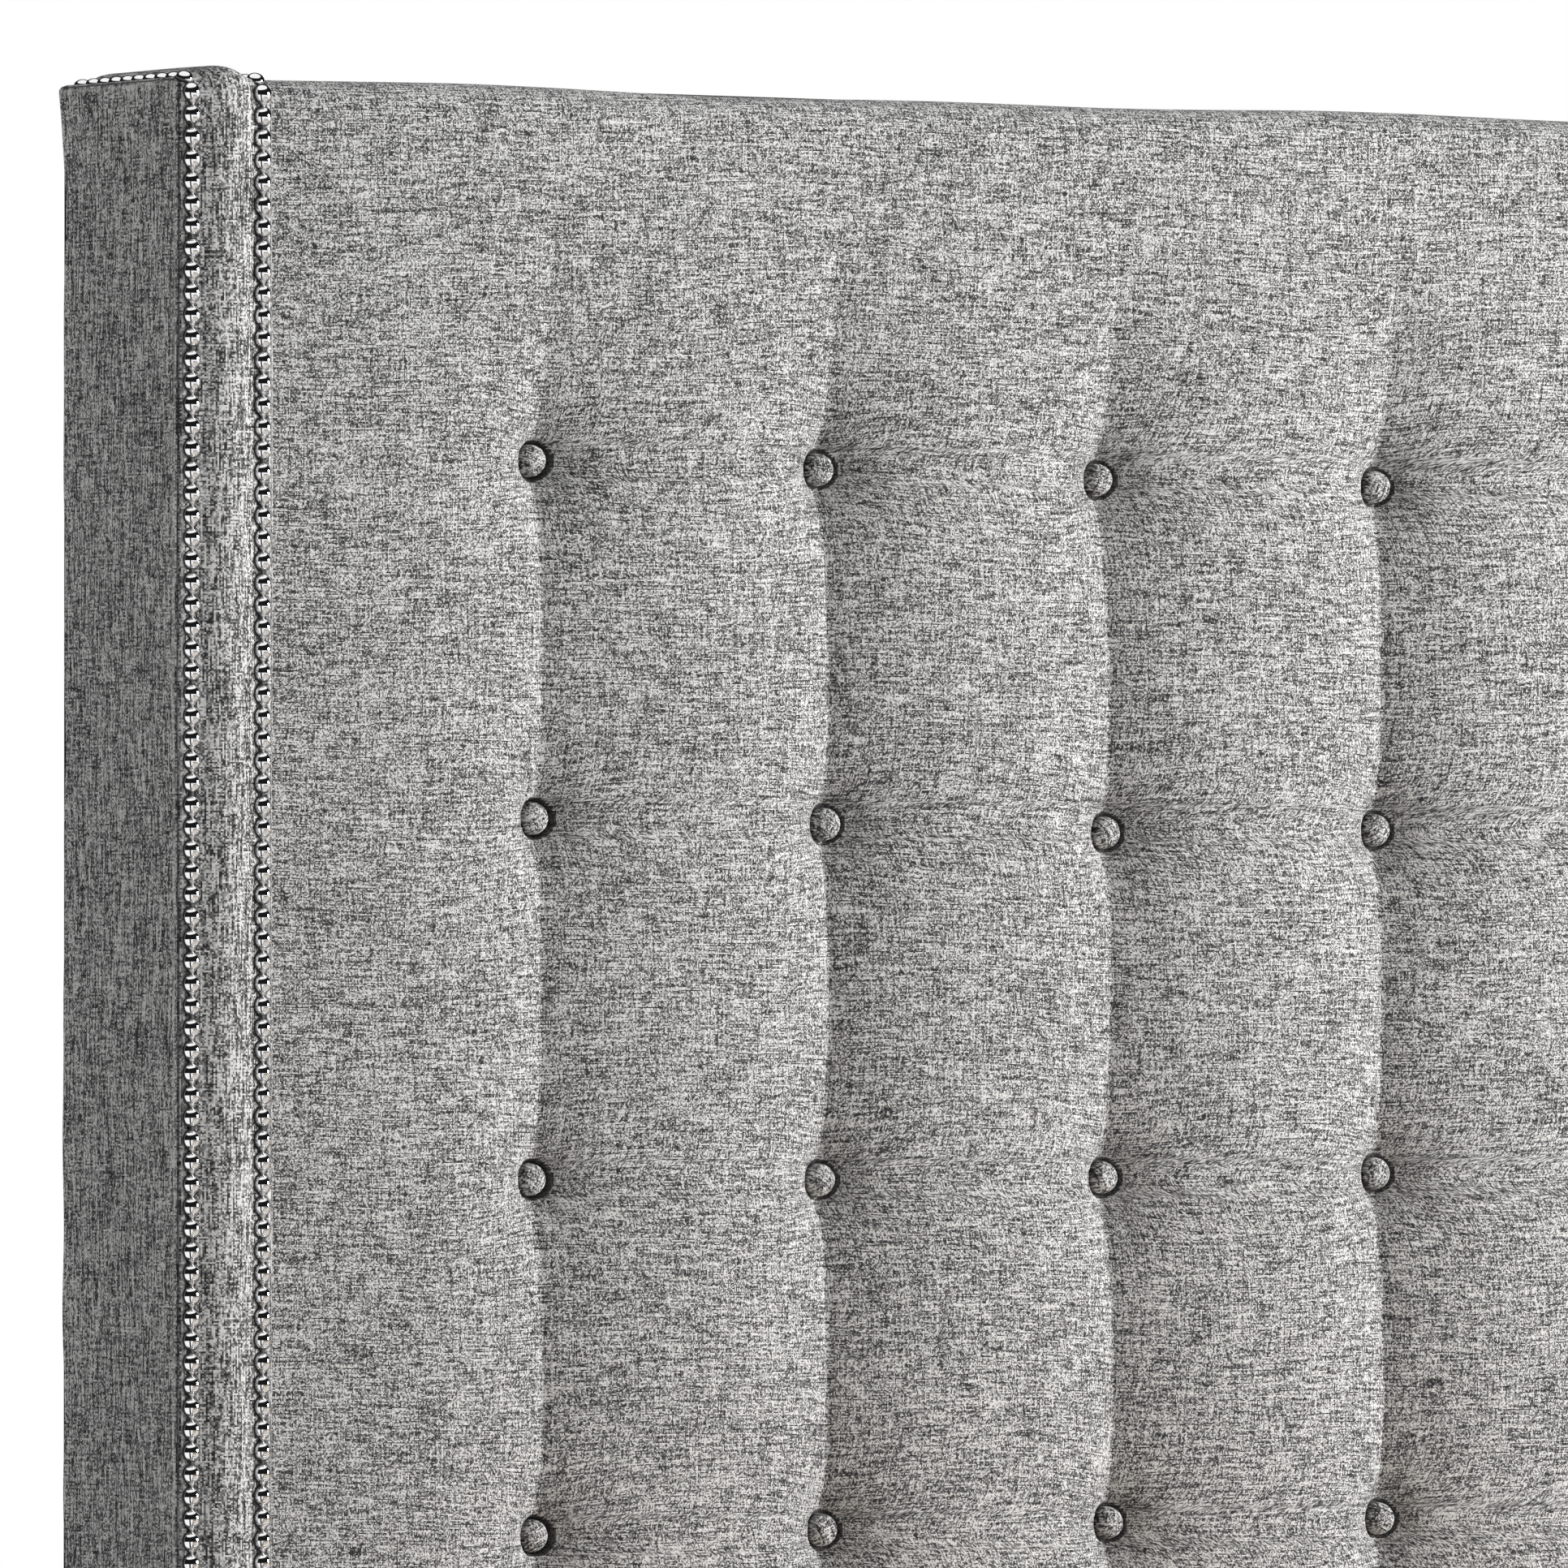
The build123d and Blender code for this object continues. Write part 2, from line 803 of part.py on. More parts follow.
def hanger_cuts():
    """Mortises for the slot plates, pockets behind them for the hooks, and screw holes."""
    cuts = list(small_screw_bores())
    for side in sides.values():
        for y, toward in hanger_ends():
            x = side * wing_middle
            cuts.append(plate_block(x, y, -toward, plate_thickness, plate_width, plate_height))
            for step in (-1, 1):
                z = rail_middle_z + step * hook_offset
                depth = plate_thickness + hook_reach + pocket_room
                half = hook_thickness / 2 + slot_clearance
                y0, y1 = sorted((y, y - toward * depth))
                cuts.append(block(
                    x - half, x + half, y0, y1,
                    z - hook_drop - pocket_room, z + hook_height + slot_clearance,
                ))
    return cuts


# Footboard
def footboard_board():
    inset = footboard_roundness + cover_thickness
    solid = block(
        -half_width + inset, half_width - inset,
        footboard_front_y, footboard_back_y,
        rail_bottom, footboard_height - footboard_crown,
    )
    for side in sides.values():
        point = (side * (half_width - leg_inset), (footboard_front_y + footboard_back_y) / 2, rail_bottom)
        radius = leg_tenon_radius + screw_clearance
        solid -= rod(radius, point, (0, 0, 1), leg_tenon_length + screw_clearance)
    return solid - hanger_cuts()


def footboard_outline():
    """Side view of the footboard's padding: crowned front, rounded top, flat back."""
    low_front = (foot_y + footboard_crown - footboard_edge, rail_bottom)
    high_front = (low_front[0], footboard_height - footboard_crown)
    bulge = (foot_y, (low_front[1] + high_front[1]) / 2)
    back_top = (footboard_back_y + footboard_lining, footboard_height - footboard_crown)
    peak = ((high_front[0] + back_top[0]) / 2, footboard_height)
    back_low = (back_top[0], rail_bottom)
    return Plane.YZ * make_face([
        ThreePointArc(low_front, bulge, high_front),
        ThreePointArc(high_front, peak, back_top),
        Line(back_top, back_low),
        Line(back_low, low_front),
    ])


def footboard_envelope():
    solid = Pos(-half_width, 0, 0) * extrude(footboard_outline(), 2 * half_width)
    edges = [edge for edge in solid.edges()
             if abs(edge.tangent_at(0.5).X) < 0.5
             and edge.center().Z > rail_bottom + overrun]
    return fillet(edges, footboard_roundness)


def footboard_pad():
    """Crowned front padding that rolls over the top to the bed side."""
    inset = footboard_roundness + cover_thickness
    core = block(
        -half_width + inset, half_width - inset,
        footboard_front_y, footboard_back_y,
        0, footboard_height - footboard_crown,
    )
    lining = block(
        -half_width, half_width,
        footboard_back_y, footboard_back_y + footboard_lining + overrun,
        0, footboard_height - footboard_crown,
    )
    return footboard_envelope() - core - lining


def footboard_inner_cover():
    solid = block(
        -half_width + footboard_roundness, half_width - footboard_roundness,
        footboard_back_y, footboard_back_y + footboard_lining,
        rail_bottom, footboard_height - footboard_crown,
    )
    window = rail_thickness / 2 + rail_clearance
    for side in sides.values():
        x = side * wing_middle
        solid -= block(
            x - window, x + window,
            footboard_back_y - overrun, footboard_back_y + footboard_lining + overrun,
            rail_bottom - rail_clearance, rail_top + rail_clearance,
        )
    hanger = beam_width / 2 + hanger_clearance + hanger_thickness + rail_clearance
    return solid - block(
        -hanger, hanger,
        footboard_back_y - overrun, footboard_back_y + footboard_lining + overrun,
        beam_bottom - hanger_thickness - rail_clearance, slat_bottom + rail_clearance,
    )


def footboard_leg(side):
    """Tapered square leg with a round tenon in the board."""
    x = side * (half_width - leg_inset)
    y = (footboard_front_y + footboard_back_y) / 2
    foot = Pos(x, y, glide_height) * Rectangle(leg_foot_width, leg_foot_width)
    top = Pos(x, y, rail_bottom) * Rectangle(leg_top_width, leg_top_width)
    tenon_pin = rod(leg_tenon_radius, (x, y, rail_bottom), (0, 0, 1), leg_tenon_length)
    return loft([foot, top], ruled=True) + tenon_pin


def floor_glides():
    """Plastic glides under the wings and the footboard's legs."""
    glide = turned([
        (0, 0),
        (glide_radius - glide_chamfer, 0),
        (glide_radius, glide_chamfer),
        (glide_radius, glide_height),
        (0, glide_height),
    ])
    leg_y = (footboard_front_y + footboard_back_y) / 2
    places = []
    for side in sides.values():
        places.append((side * wing_middle, wing_frame_front_y + stile_depth / 2))
        places.append((side * wing_middle, frame_back_y - stile_depth / 2))
        places.append((side * (half_width - leg_inset), leg_y))
    return group(Pos(x, y, 0) * glide for x, y in places)


# Slats
def slat_places():
    first = footboard_back_y + footboard_lining + slat_row_margin + slat_width / 2
    last = wing_front_y - slat_row_margin - slat_width / 2
    pitch = (last - first) / (slat_count - 1)
    return [first + number * pitch for number in range(slat_count)]


def slat(y):
    half = rail_board_inner - slat_end_gap
    return block(-half, half, y - slat_width / 2, y + slat_width / 2, slat_bottom, slat_top)


def slat_straps():
    places = slat_places()
    half = rail_board_inner - slat_end_gap
    start, end = places[0] - slat_width / 2, places[-1] + slat_width / 2
    straps = []
    for side in sides.values():
        x = side * half * strap_share
        straps.append(block(
            x - strap_width / 2, x + strap_width / 2, start, end,
            slat_bottom - strap_thickness, slat_bottom,
        ))
    return group(straps)


# Centre support
def centre_beam():
    solid = block(
        -beam_width / 2, beam_width / 2,
        footboard_back_y + hanger_thickness + hanger_clearance,
        frame_front_y - hanger_thickness - hanger_clearance,
        beam_bottom, slat_bottom,
    )
    return solid - [placed(wood_screw(screw_length, screw_clearance), *place)
                    for place in flange_screw_places()]


def bottom_rail():
    bores = [placed(wood_screw(screw_length, screw_clearance), *place)
             for place in hanger_screw_places()]
    return frame_rail(bottom_rail_z, bottom_rail_height) - bores


def beam_hanger(y, toward):
    """Steel cradle under the beam's end."""
    half = beam_width / 2 + hanger_clearance
    outer = half + hanger_thickness
    y0, y1 = sorted((y, y + toward * hanger_depth))
    low = beam_bottom - hanger_thickness
    cradle = block(-outer, outer, y0, y1, low, slat_bottom)
    y0, y1 = sorted((y + toward * hanger_thickness, y + toward * (hanger_depth + overrun)))
    cradle -= block(-half, half, y0, y1, beam_bottom, slat_bottom + overrun)
    bores = [placed(wood_screw(screw_length, screw_clearance), *place)
             for place in hanger_screw_places()]
    return cradle - bores


def beam_hangers():
    return group((beam_hanger(footboard_back_y, 1), beam_hanger(frame_front_y, -1)))


def centre_leg(y):
    """Steel tube with a screwed flange on top and a threaded insert at the bottom."""
    top = beam_bottom - flange_thickness
    tube = rod(tube_radius, (0, y, tube_bottom), (0, 0, 1), top - tube_bottom)
    hollow = tube_bottom + insert_height
    tube -= rod(tube_radius - tube_wall, (0, y, hollow), (0, 0, 1), top - hollow)
    tube -= rod(stem_radius + stem_clearance, (0, y, tube_bottom - overrun), (0, 0, 1),
                insert_height + 2 * overrun)
    flange = block(
        -beam_width / 2, beam_width / 2,
        y - flange_length / 2, y + flange_length / 2,
        top, beam_bottom,
    )
    bores = [placed(wood_screw(screw_length, screw_clearance), *place)
             for place in flange_screw_places()]
    return (tube + flange) - bores


def levelling_stem(y):
    """Threaded stem with a ball at its foot and a hexagon to turn it by."""
    ball_z = foot_pad_height - stem_ball_radius
    hexagon_z = foot_pad_height + hexagon_lift
    stem = rod(stem_radius, (0, y, hexagon_z), (0, 0, 1), stem_length)
    neck = rod(stem_neck_radius, (0, y, ball_z), (0, 0, 1), hexagon_z - ball_z)
    ball = Pos(0, y, ball_z) * Sphere(stem_ball_radius)
    outline = RegularPolygon(hexagon_across / 2, 6, major_radius=False)
    hexagon = Pos(0, y, hexagon_z) * extrude(outline, hexagon_height)
    return stem + neck + ball + hexagon


def levelling_pad(y):
    """Round plastic pad with a socket for the stem's ball."""
    body = turned([
        (0, 0),
        (foot_pad_radius, 0),
        (foot_pad_radius, foot_pad_rim),
        (foot_pad_neck_radius, foot_pad_height),
        (0, foot_pad_height),
    ])
    ball_z = foot_pad_height - stem_ball_radius
    socket = Pos(0, 0, ball_z) * Sphere(stem_ball_radius + socket_clearance)
    mouth = rod(stem_radius, (0, 0, ball_z), (0, 0, 1), foot_pad_height)
    return Pos(0, y, 0) * (body - socket - mouth)


def nodes():
    """Every piece by name."""
    pieces = {
        "headboard_top_rail": frame_rail(top_rail_z, frame_rail_height),
        "headboard_middle_rail": frame_rail(middle_rail_z, frame_rail_height),
        "headboard_bottom_rail": bottom_rail(),
        "headboard_plywood": plywood(),
        "headboard_back_cover": back_cover(),
        "tufted_pad": tufted_pad(),
        "tuft_buttons": tuft_buttons(),
        "tuft_ties": tuft_ties(),
        "strip_nails": strip_nails(),
        "wing_bolts": group(bolts()),
        "footboard_board": footboard_board(),
        "footboard_pad": footboard_pad(),
        "footboard_inner_cover": footboard_inner_cover(),
        "rail_hook_plates": hook_plates(),
        "rail_slot_plates": slot_plates(),
        "plate_screws": group(small_screws()),
        "cleat_screws": group(cleat_screws()),
        "centre_beam": centre_beam(),
        "beam_hangers": beam_hangers(),
        "floor_glides": floor_glides(),
        "slat_straps": slat_straps(),
    }
    for name, side in sides.items():
        pieces["headboard_post_" + name] = post(side)
        pieces["wing_frame_" + name] = wing_frame(side)
        pieces["wing_outer_cover_" + name] = wing_cover(side, False)
        pieces["wing_inner_cover_" + name] = wing_cover(side, True)
        pieces["wing_front_band_" + name] = wing_front_band(side)
        pieces["outer_nail_strip_" + name] = nail_strip(side, False)
        pieces["inner_nail_strip_" + name] = nail_strip(side, True)
        pieces["side_rail_board_" + name] = rail_board(side)
        pieces["side_rail_cover_" + name] = rail_cover(side)
        pieces["slat_cleat_" + name] = slat_cleat(side)
        pieces["footboard_leg_" + name] = footboard_leg(side)
    for name, y in centre_legs.items():
        pieces["centre_leg_" + name] = centre_leg(y)
        pieces["levelling_stem_" + name] = levelling_stem(y)
        pieces["levelling_pad_" + name] = levelling_pad(y)
    for number, y in enumerate(slat_places(), start=1):
        pieces["slat_%02d" % number] = slat(y)
    return pieces


os.makedirs("parts", exist_ok=True)
for node, solid in nodes().items():
    export_step(solid, os.path.join("parts", node + ".step"))
    print(node, len(solid.solids()))
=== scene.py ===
import json
import math
import bpy
import numpy as np
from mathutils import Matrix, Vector, noise


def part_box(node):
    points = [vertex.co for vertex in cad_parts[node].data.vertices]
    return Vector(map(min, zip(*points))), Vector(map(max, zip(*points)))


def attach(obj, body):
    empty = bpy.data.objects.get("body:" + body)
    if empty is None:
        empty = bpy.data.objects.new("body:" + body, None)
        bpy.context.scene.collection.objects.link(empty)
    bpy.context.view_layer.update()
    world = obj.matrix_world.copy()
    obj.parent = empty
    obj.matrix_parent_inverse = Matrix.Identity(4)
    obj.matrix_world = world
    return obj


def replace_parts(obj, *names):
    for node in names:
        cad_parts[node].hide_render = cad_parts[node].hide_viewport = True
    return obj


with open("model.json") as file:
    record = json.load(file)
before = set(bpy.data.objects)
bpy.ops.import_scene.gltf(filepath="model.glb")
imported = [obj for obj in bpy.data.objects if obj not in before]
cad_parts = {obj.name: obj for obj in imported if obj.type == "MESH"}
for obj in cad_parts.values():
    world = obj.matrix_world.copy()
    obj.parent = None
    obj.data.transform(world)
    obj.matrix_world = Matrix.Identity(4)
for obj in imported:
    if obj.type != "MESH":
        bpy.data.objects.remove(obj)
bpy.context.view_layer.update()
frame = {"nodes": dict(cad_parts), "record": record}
nodes = frame["nodes"]
record = frame["record"]
mm = 0.001
phase = 6.28  # range of a wave's random start


# Shader maths: a wire is a socket that can be added, multiplied and so on
class Wire:
    def __init__(self, tree, socket):
        self.tree = tree
        self.socket = socket

    def join(self, operation, *values):
        node = self.tree.nodes.new("ShaderNodeMath")
        node.operation = operation
        for place, value in zip(node.inputs, values):
            plug(self.tree, place, value)
        return Wire(self.tree, node.outputs[0])

    def __add__(self, other):
        return self.join("ADD", self, other)

    def __radd__(self, other):
        return self.join("ADD", other, self)

    def __sub__(self, other):
        return self.join("SUBTRACT", self, other)

    def __rsub__(self, other):
        return self.join("SUBTRACT", other, self)

    def __mul__(self, other):
        return self.join("MULTIPLY", self, other)

    def __rmul__(self, other):
        return self.join("MULTIPLY", other, self)

    def __truediv__(self, other):
        return self.join("DIVIDE", self, other)

    def __abs__(self):
        return self.join("ABSOLUTE", self)

    def __gt__(self, other):
        return self.join("GREATER_THAN", self, other)

    def __lt__(self, other):
        return self.join("LESS_THAN", self, other)

    def floor(self):
        return self.join("FLOOR", self)

    def sine(self):
        return self.join("SINE", self)


def plug(tree, place, value):
    if isinstance(value, Wire):
        tree.links.new(value.socket, place)
    elif isinstance(value, (tuple, list)) and place.type == "RGBA" and len(value) == 3:
        place.default_value = (*value, 1)
    else:
        place.default_value = value


def fillRamp(ramp, stops):
    while len(ramp.elements) < len(stops):
        ramp.elements.new(0.5)
    for element, (place, colour) in zip(ramp.elements, stops):
        element.position = place
        element.color = (*colour, 1)


class Shader:  # a node tree being put together
    def __init__(self, tree):
        self.tree = tree

    def node(self, kind, settings=None, sockets=None, out=0):
        made = self.tree.nodes.new(kind)
        for key, value in (settings or {}).items():
            if key == "stops":
                fillRamp(made.color_ramp, value)
            else:
                setattr(made, key, value)
        for key, value in (sockets or {}).items():
            plug(self.tree, made.inputs[key], value)
        return Wire(self.tree, made.outputs[out]) if made.outputs else None

    def place(self):
        return self.node("ShaderNodeTexCoord", out="Object")

    def paintedShadeMark(self):  # painted shade mask: 1 on a seam, crease or nail foot, 0 away from it
        return self.node("ShaderNodeAttribute", {"attribute_name": "seam"}, out="Fac")

    def split(self, vector):
        made = self.node("ShaderNodeSeparateXYZ", {}, {"Vector": vector}).socket.node
        return [Wire(self.tree, made.outputs[n]) for n in range(3)]

    def merge(self, x, y, z=0.0):
        return self.node("ShaderNodeCombineXYZ", {}, {"X": x, "Y": y, "Z": z})

    def noise(self, vector, scale=1.0, detail=2.0, rough=0.5):
        return self.node("ShaderNodeTexNoise", {}, {
            "Vector": vector, "Scale": scale, "Detail": detail, "Roughness": rough})

    def stretch(self, vector, scale):
        return self.node("ShaderNodeMapping", {}, {"Vector": vector, "Scale": scale})

    def ramp(self, value, *stops):
        return self.node("ShaderNodeValToRGB", {"stops": stops}, {"Fac": value})

    def mix(self, share, first, second, blend="MIX"):
        return self.node("ShaderNodeMix", {"data_type": "RGBA", "blend_type": blend},
                         {0: share, 6: first, 7: second}, out=2)

    def bump(self, height, distance, strength=1.0):
        return self.node("ShaderNodeBump", {}, {
            "Height": height, "Strength": strength, "Distance": distance})


class Finish(Shader):  # one material
    def __init__(self, name):
        self.material = bpy.data.materials.new(name)
        self.material.use_nodes = True
        super().__init__(self.material.node_tree)
        self.surface = self.tree.nodes["Principled BSDF"]

    def done(self, **sockets):
        for key, value in sockets.items():
            plug(self.tree, self.surface.inputs[key.replace("_", " ")], value)
        return self.material


# Camera where the photograph was taken: well back, left of the bed, at rail height
shot = {
    "azimuth": -32.79,
    "pitch": -0.86,
    "distance": 12.337,
    "target": (-0.4, 0.954, 0.9251),
    "focalPixels": 23934.0,
    "framePixels": 1932.0,
    "sensor": 36.0,
}


def placeCamera(view):
    data = bpy.data.cameras.new("photoCamera")
    camera = bpy.data.objects.new("photoCamera", data)
    bpy.context.scene.collection.objects.link(camera)
    a, e = math.radians(view["azimuth"]), math.radians(view["pitch"])
    back = Vector((math.sin(a) * math.cos(e), -math.cos(a) * math.cos(e), math.sin(e)))
    camera.location = Vector(view["target"]) + back * view["distance"]
    camera.rotation_mode = "QUATERNION"
    camera.rotation_quaternion = (-back).to_track_quat("-Z", "Y")
    data.sensor_width = view["sensor"]
    data.lens = view["focalPixels"] / view["framePixels"] * view["sensor"]
    data.clip_start, data.clip_end = 0.1, 200
    bpy.context.scene.camera = camera


placeCamera(shot)
print("camera")


# Grey upholstery: coarse threads both ways, each with its own tone and slubs, the weft stronger
upholstery = {
    "dark": (0.03, 0.03, 0.031),
    "mid": (0.288, 0.287, 0.288),
    "light": (0.86, 0.855, 0.845),
    "threadPitch": 0.8 * mm,
    "weftSlub": 24 * mm,
    "warpSlub": 17 * mm,
    "weftShare": 3.0,
    "warpShare": 1.8,
    "crossShare": 1.3,      # tone of each crossing of two threads
    "cloudShare": 0.15,
    "overShare": 0.06,      # lift in tone where the weft is on top
    "sheen": 0.1,
    "roughness": 0.9,
    "relief": 0.18 * mm,
    # strength of the painted shade in creases and of the painted highlight beside them
    "seamShade": 0.88,
    "seamLight": 0.35,
}


def weaveFinish(name, look):
    made = Finish(name)
    weave = made.node("ShaderNodeUVMap", {"uv_map": "weave"})
    u, v, _ = made.split(weave)
    pitch = look["threadPitch"]
    weftNumber = (v / pitch).floor()
    warpNumber = (u / pitch).floor()
    weft = made.noise(made.merge(u / look["weftSlub"], weftNumber * 3.731), 1.0, 3.0, 0.62)
    warp = made.noise(made.merge(warpNumber * 3.693, v / look["warpSlub"], 4.7), 1.0, 3.0, 0.62)
    cross = made.node("ShaderNodeTexWhiteNoise", {"noise_dimensions": "2D"},
                      {"Vector": made.merge(warpNumber, weftNumber)})
    cloud = made.noise(weave, 16.0, 2.0)
    turn = math.pi / pitch
    over = (u * turn).sine() * (v * turn).sine()  # which thread is on top
    tone = 0.5 + (weft - 0.5) * look["weftShare"] + (warp - 0.5) * look["warpShare"]
    tone = tone + (cross - 0.5) * look["crossShare"] + (cloud - 0.5) * look["cloudShare"]
    tone = tone + over * look["overShare"]
    near = made.paintedShadeMark()
    paintedFoldShade = made.ramp(near, (0.86, (0, 0, 0)), (0.95, (1, 1, 1)))  # painted shade in the crease, painted highlight beside it
    paintedBesideHighlight = made.ramp(near, (0.55, (0, 0, 0)), (0.7, (1, 1, 1)), (0.84, (0, 0, 0)))
    colour = made.ramp(tone, (0.0, look["dark"]), (0.5, look["mid"]), (1.0, look["light"]))
    colour = made.mix(paintedBesideHighlight * look["seamLight"], colour, look["light"])
    colour = made.mix(paintedFoldShade * look["seamShade"], colour, look["dark"])
    return made.done(
        Base_Color=colour,
        Roughness=look["roughness"] + (0.5 - weft) * 0.2,
        Sheen_Weight=look["sheen"],
        Sheen_Roughness=0.5,
        Specular_IOR_Level=0.25,
        Normal=made.bump(tone * 0.4 + over * 0.3, look["relief"]),
    )


greyWeave = weaveFinish("greyWeave", upholstery)
wingCloth = {**upholstery, "threadPitch": 1.05 * mm, "weftShare": 3.8, "crossShare": 1.1}
wingWeave = weaveFinish("wingWeave", wingCloth)

# Dark lining behind, and the webbing under the slats
lining = {
    "dark": (0.018, 0.018, 0.02),
    "light": (0.055, 0.055, 0.06),
    "fibre": 1.6 * mm,
    "roughness": 0.93,
    "relief": 0.15 * mm,
}
webbing = {
    "dark": (0.42, 0.40, 0.34),
    "light": (0.66, 0.63, 0.55),
    "rib": 1.5 * mm,
    "roughness": 0.85,
    "relief": 0.3 * mm,
}


def liningFinish(look):
    made = Finish("liningCloth")
    place = made.place()
    fibre = made.noise(place, 1 / look["fibre"], 3.0, 0.7)
    cloud = made.noise(place, 9.0, 3.0)
    colour = made.ramp(fibre * 0.7 + cloud * 0.5 - 0.1, (0.25, look["dark"]), (0.75, look["light"]))
    return made.done(
        Base_Color=colour,
        Roughness=look["roughness"] - fibre * 0.15,
        Specular_IOR_Level=0.3,
        Normal=made.bump(fibre, look["relief"], 0.8),
    )


def webbingFinish(look):
    made = Finish("webbingCloth")
    x, y, _ = made.split(made.place())
    turn = math.pi / look["rib"]
    ribs = (x * turn).sine() * (y * turn).sine()
    fuzz = made.noise(made.place(), 900.0, 2.0)
    tone = 0.5 + ribs * 0.35 + (fuzz - 0.5) * 0.5
    return made.done(
        Base_Color=made.ramp(tone, (0.1, look["dark"]), (0.9, look["light"])),
        Roughness=look["roughness"] + (fuzz - 0.5) * 0.2,
        Normal=made.bump(tone, look["relief"], 0.7),
    )


# Wood, one finish for each timber and grain direction
timber = {
    "frame_wood": {"dark": (0.36, 0.24, 0.13), "mid": (0.53, 0.38, 0.22), "light": (0.64, 0.49, 0.31),
                   "rough": 0.62, "coat": 0.0, "ring": 13 * mm, "fibre": 0.9 * mm, "relief": 0.25 * mm},
    "slat_wood": {"dark": (0.47, 0.33, 0.18), "mid": (0.66, 0.51, 0.32), "light": (0.76, 0.63, 0.44),
                  "rough": 0.55, "coat": 0.0, "ring": 17 * mm, "fibre": 0.8 * mm, "relief": 0.2 * mm},
    "dark_wood": {"dark": (0.012, 0.008, 0.006), "mid": (0.035, 0.022, 0.015),
                  "light": (0.075, 0.048, 0.032), "rough": 0.38, "coat": 0.25, "ring": 9 * mm,
                  "fibre": 0.7 * mm, "relief": 0.12 * mm},
    "plywood": {"dark": (0.43, 0.31, 0.18), "mid": (0.60, 0.46, 0.29), "light": (0.72, 0.59, 0.41),
                "rough": 0.66, "coat": 0.0, "ring": 30 * mm, "fibre": 1.0 * mm, "relief": 0.2 * mm},
}


def woodFinish(slot, axis):
    look = timber[slot]
    made = Finish(slot + "XYZ"[axis])
    place = made.place()

    def along(width, length):
        scale = [1 / width] * 3
        scale[axis] = 1 / length
        return made.stretch(place, scale)

    bend = made.noise(along(60 * mm, 400 * mm), 1.0, 2.0)
    rings = made.noise(along(look["ring"], look["ring"] * 18), 1.0, 4.0, 0.55)
    bands = ((rings * 3.0 + bend * 2.0) * math.tau).sine() * 0.5 + 0.5
    fibres = made.noise(along(look["fibre"], look["fibre"] * 40), 1.0, 3.0, 0.7)
    pores = made.noise(along(look["fibre"] * 1.4, look["fibre"] * 14), 1.0, 1.0)
    tone = bands * 0.28 + fibres * 0.45 + rings * 0.35 + (pores - 0.5) * 0.3
    wear = made.noise(place, 24.0, 4.0)
    return made.done(
        Base_Color=made.ramp(tone, (0.2, look["dark"]), (0.52, look["mid"]), (0.85, look["light"])),
        Roughness=look["rough"] + (wear - 0.5) * 0.25 + (0.5 - fibres) * 0.15,
        Coat_Weight=look["coat"],
        Coat_Roughness=0.25,
        Normal=made.bump(fibres * 0.7 + pores * 0.3, look["relief"], 0.6),
    )


# Metals and plastics
metal = {
    "nail_chrome": {"colour": (0.95, 0.95, 0.96), "shade": (0.86, 0.86, 0.88),
                    "rough": 0.04, "grain": 60.0},
    "zinc_steel": {"colour": (0.62, 0.63, 0.65), "shade": (0.44, 0.45, 0.47),
                   "rough": 0.34, "grain": 140.0},
    "bright_steel": {"colour": (0.70, 0.70, 0.71), "shade": (0.50, 0.50, 0.52),
                     "rough": 0.24, "grain": 300.0},
}
paintedFootShadow = (0.01, 0.01, 0.01)  # painted contact shadow where a nail's dome meets the cloth
plastic = {"colour": (0.02, 0.02, 0.022), "roughness": 0.45}
twine = {"dark": (0.45, 0.40, 0.30), "light": (0.76, 0.71, 0.58), "roughness": 0.75}


def metalFinish(slot):
    look = metal[slot]
    made = Finish(slot)
    place = made.place()
    stain = made.noise(place, look["grain"], 4.0, 0.6)
    scratch = made.noise(made.stretch(place, (220.0, 900.0, 220.0)), 1.0, 2.0)
    # painted contact shadow: dark and not metallic where a dome's foot meets the cloth
    foot = made.paintedShadeMark()
    return made.done(
        Base_Color=made.mix(foot, made.mix(stain, look["colour"], look["shade"]), paintedFootShadow),
        Metallic=1.0 - foot,
        Roughness=look["rough"] * (stain * 0.6 + scratch * 0.6 + 0.4) + foot * 0.6,
        Normal=made.bump(scratch * 0.5 + stain * 0.5, 0.02 * mm, 0.3),
    )


def plasticFinish(look):
    made = Finish("blackPlastic")
    place = made.place()
    grain = made.noise(place, 1400.0, 2.0)
    dust = made.noise(place, 40.0, 4.0)
    shade = tuple(channel * 1.8 + 0.01 for channel in look["colour"])
    return made.done(
        Base_Color=made.mix(dust * 0.5, look["colour"], shade),
        Roughness=look["roughness"] + (dust - 0.5) * 0.3,
        Normal=made.bump(grain, 0.06 * mm, 0.4),
    )


def twineFinish(look):
    made = Finish("tuftTwine")
    strand = made.noise(made.stretch(made.place(), (2500.0, 900.0, 2500.0)), 1.0, 2.0)
    return made.done(
        Base_Color=made.ramp(strand, (0.3, look["dark"]), (0.7, look["light"])),
        Roughness=look["roughness"] + (strand - 0.5) * 0.2,
        Normal=made.bump(strand, 0.1 * mm),
    )


# Helpers for meshes
def newPiece(name, verts, faces, material):
    mesh = bpy.data.meshes.new(name)
    mesh.from_pydata([tuple(v) for v in verts], [], [list(f) for f in faces])
    mesh.validate()
    piece = bpy.data.objects.new(name, mesh)
    bpy.context.scene.collection.objects.link(piece)
    mesh.materials.append(material)
    mesh.shade_smooth()
    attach(piece, "bed_frame")
    return piece


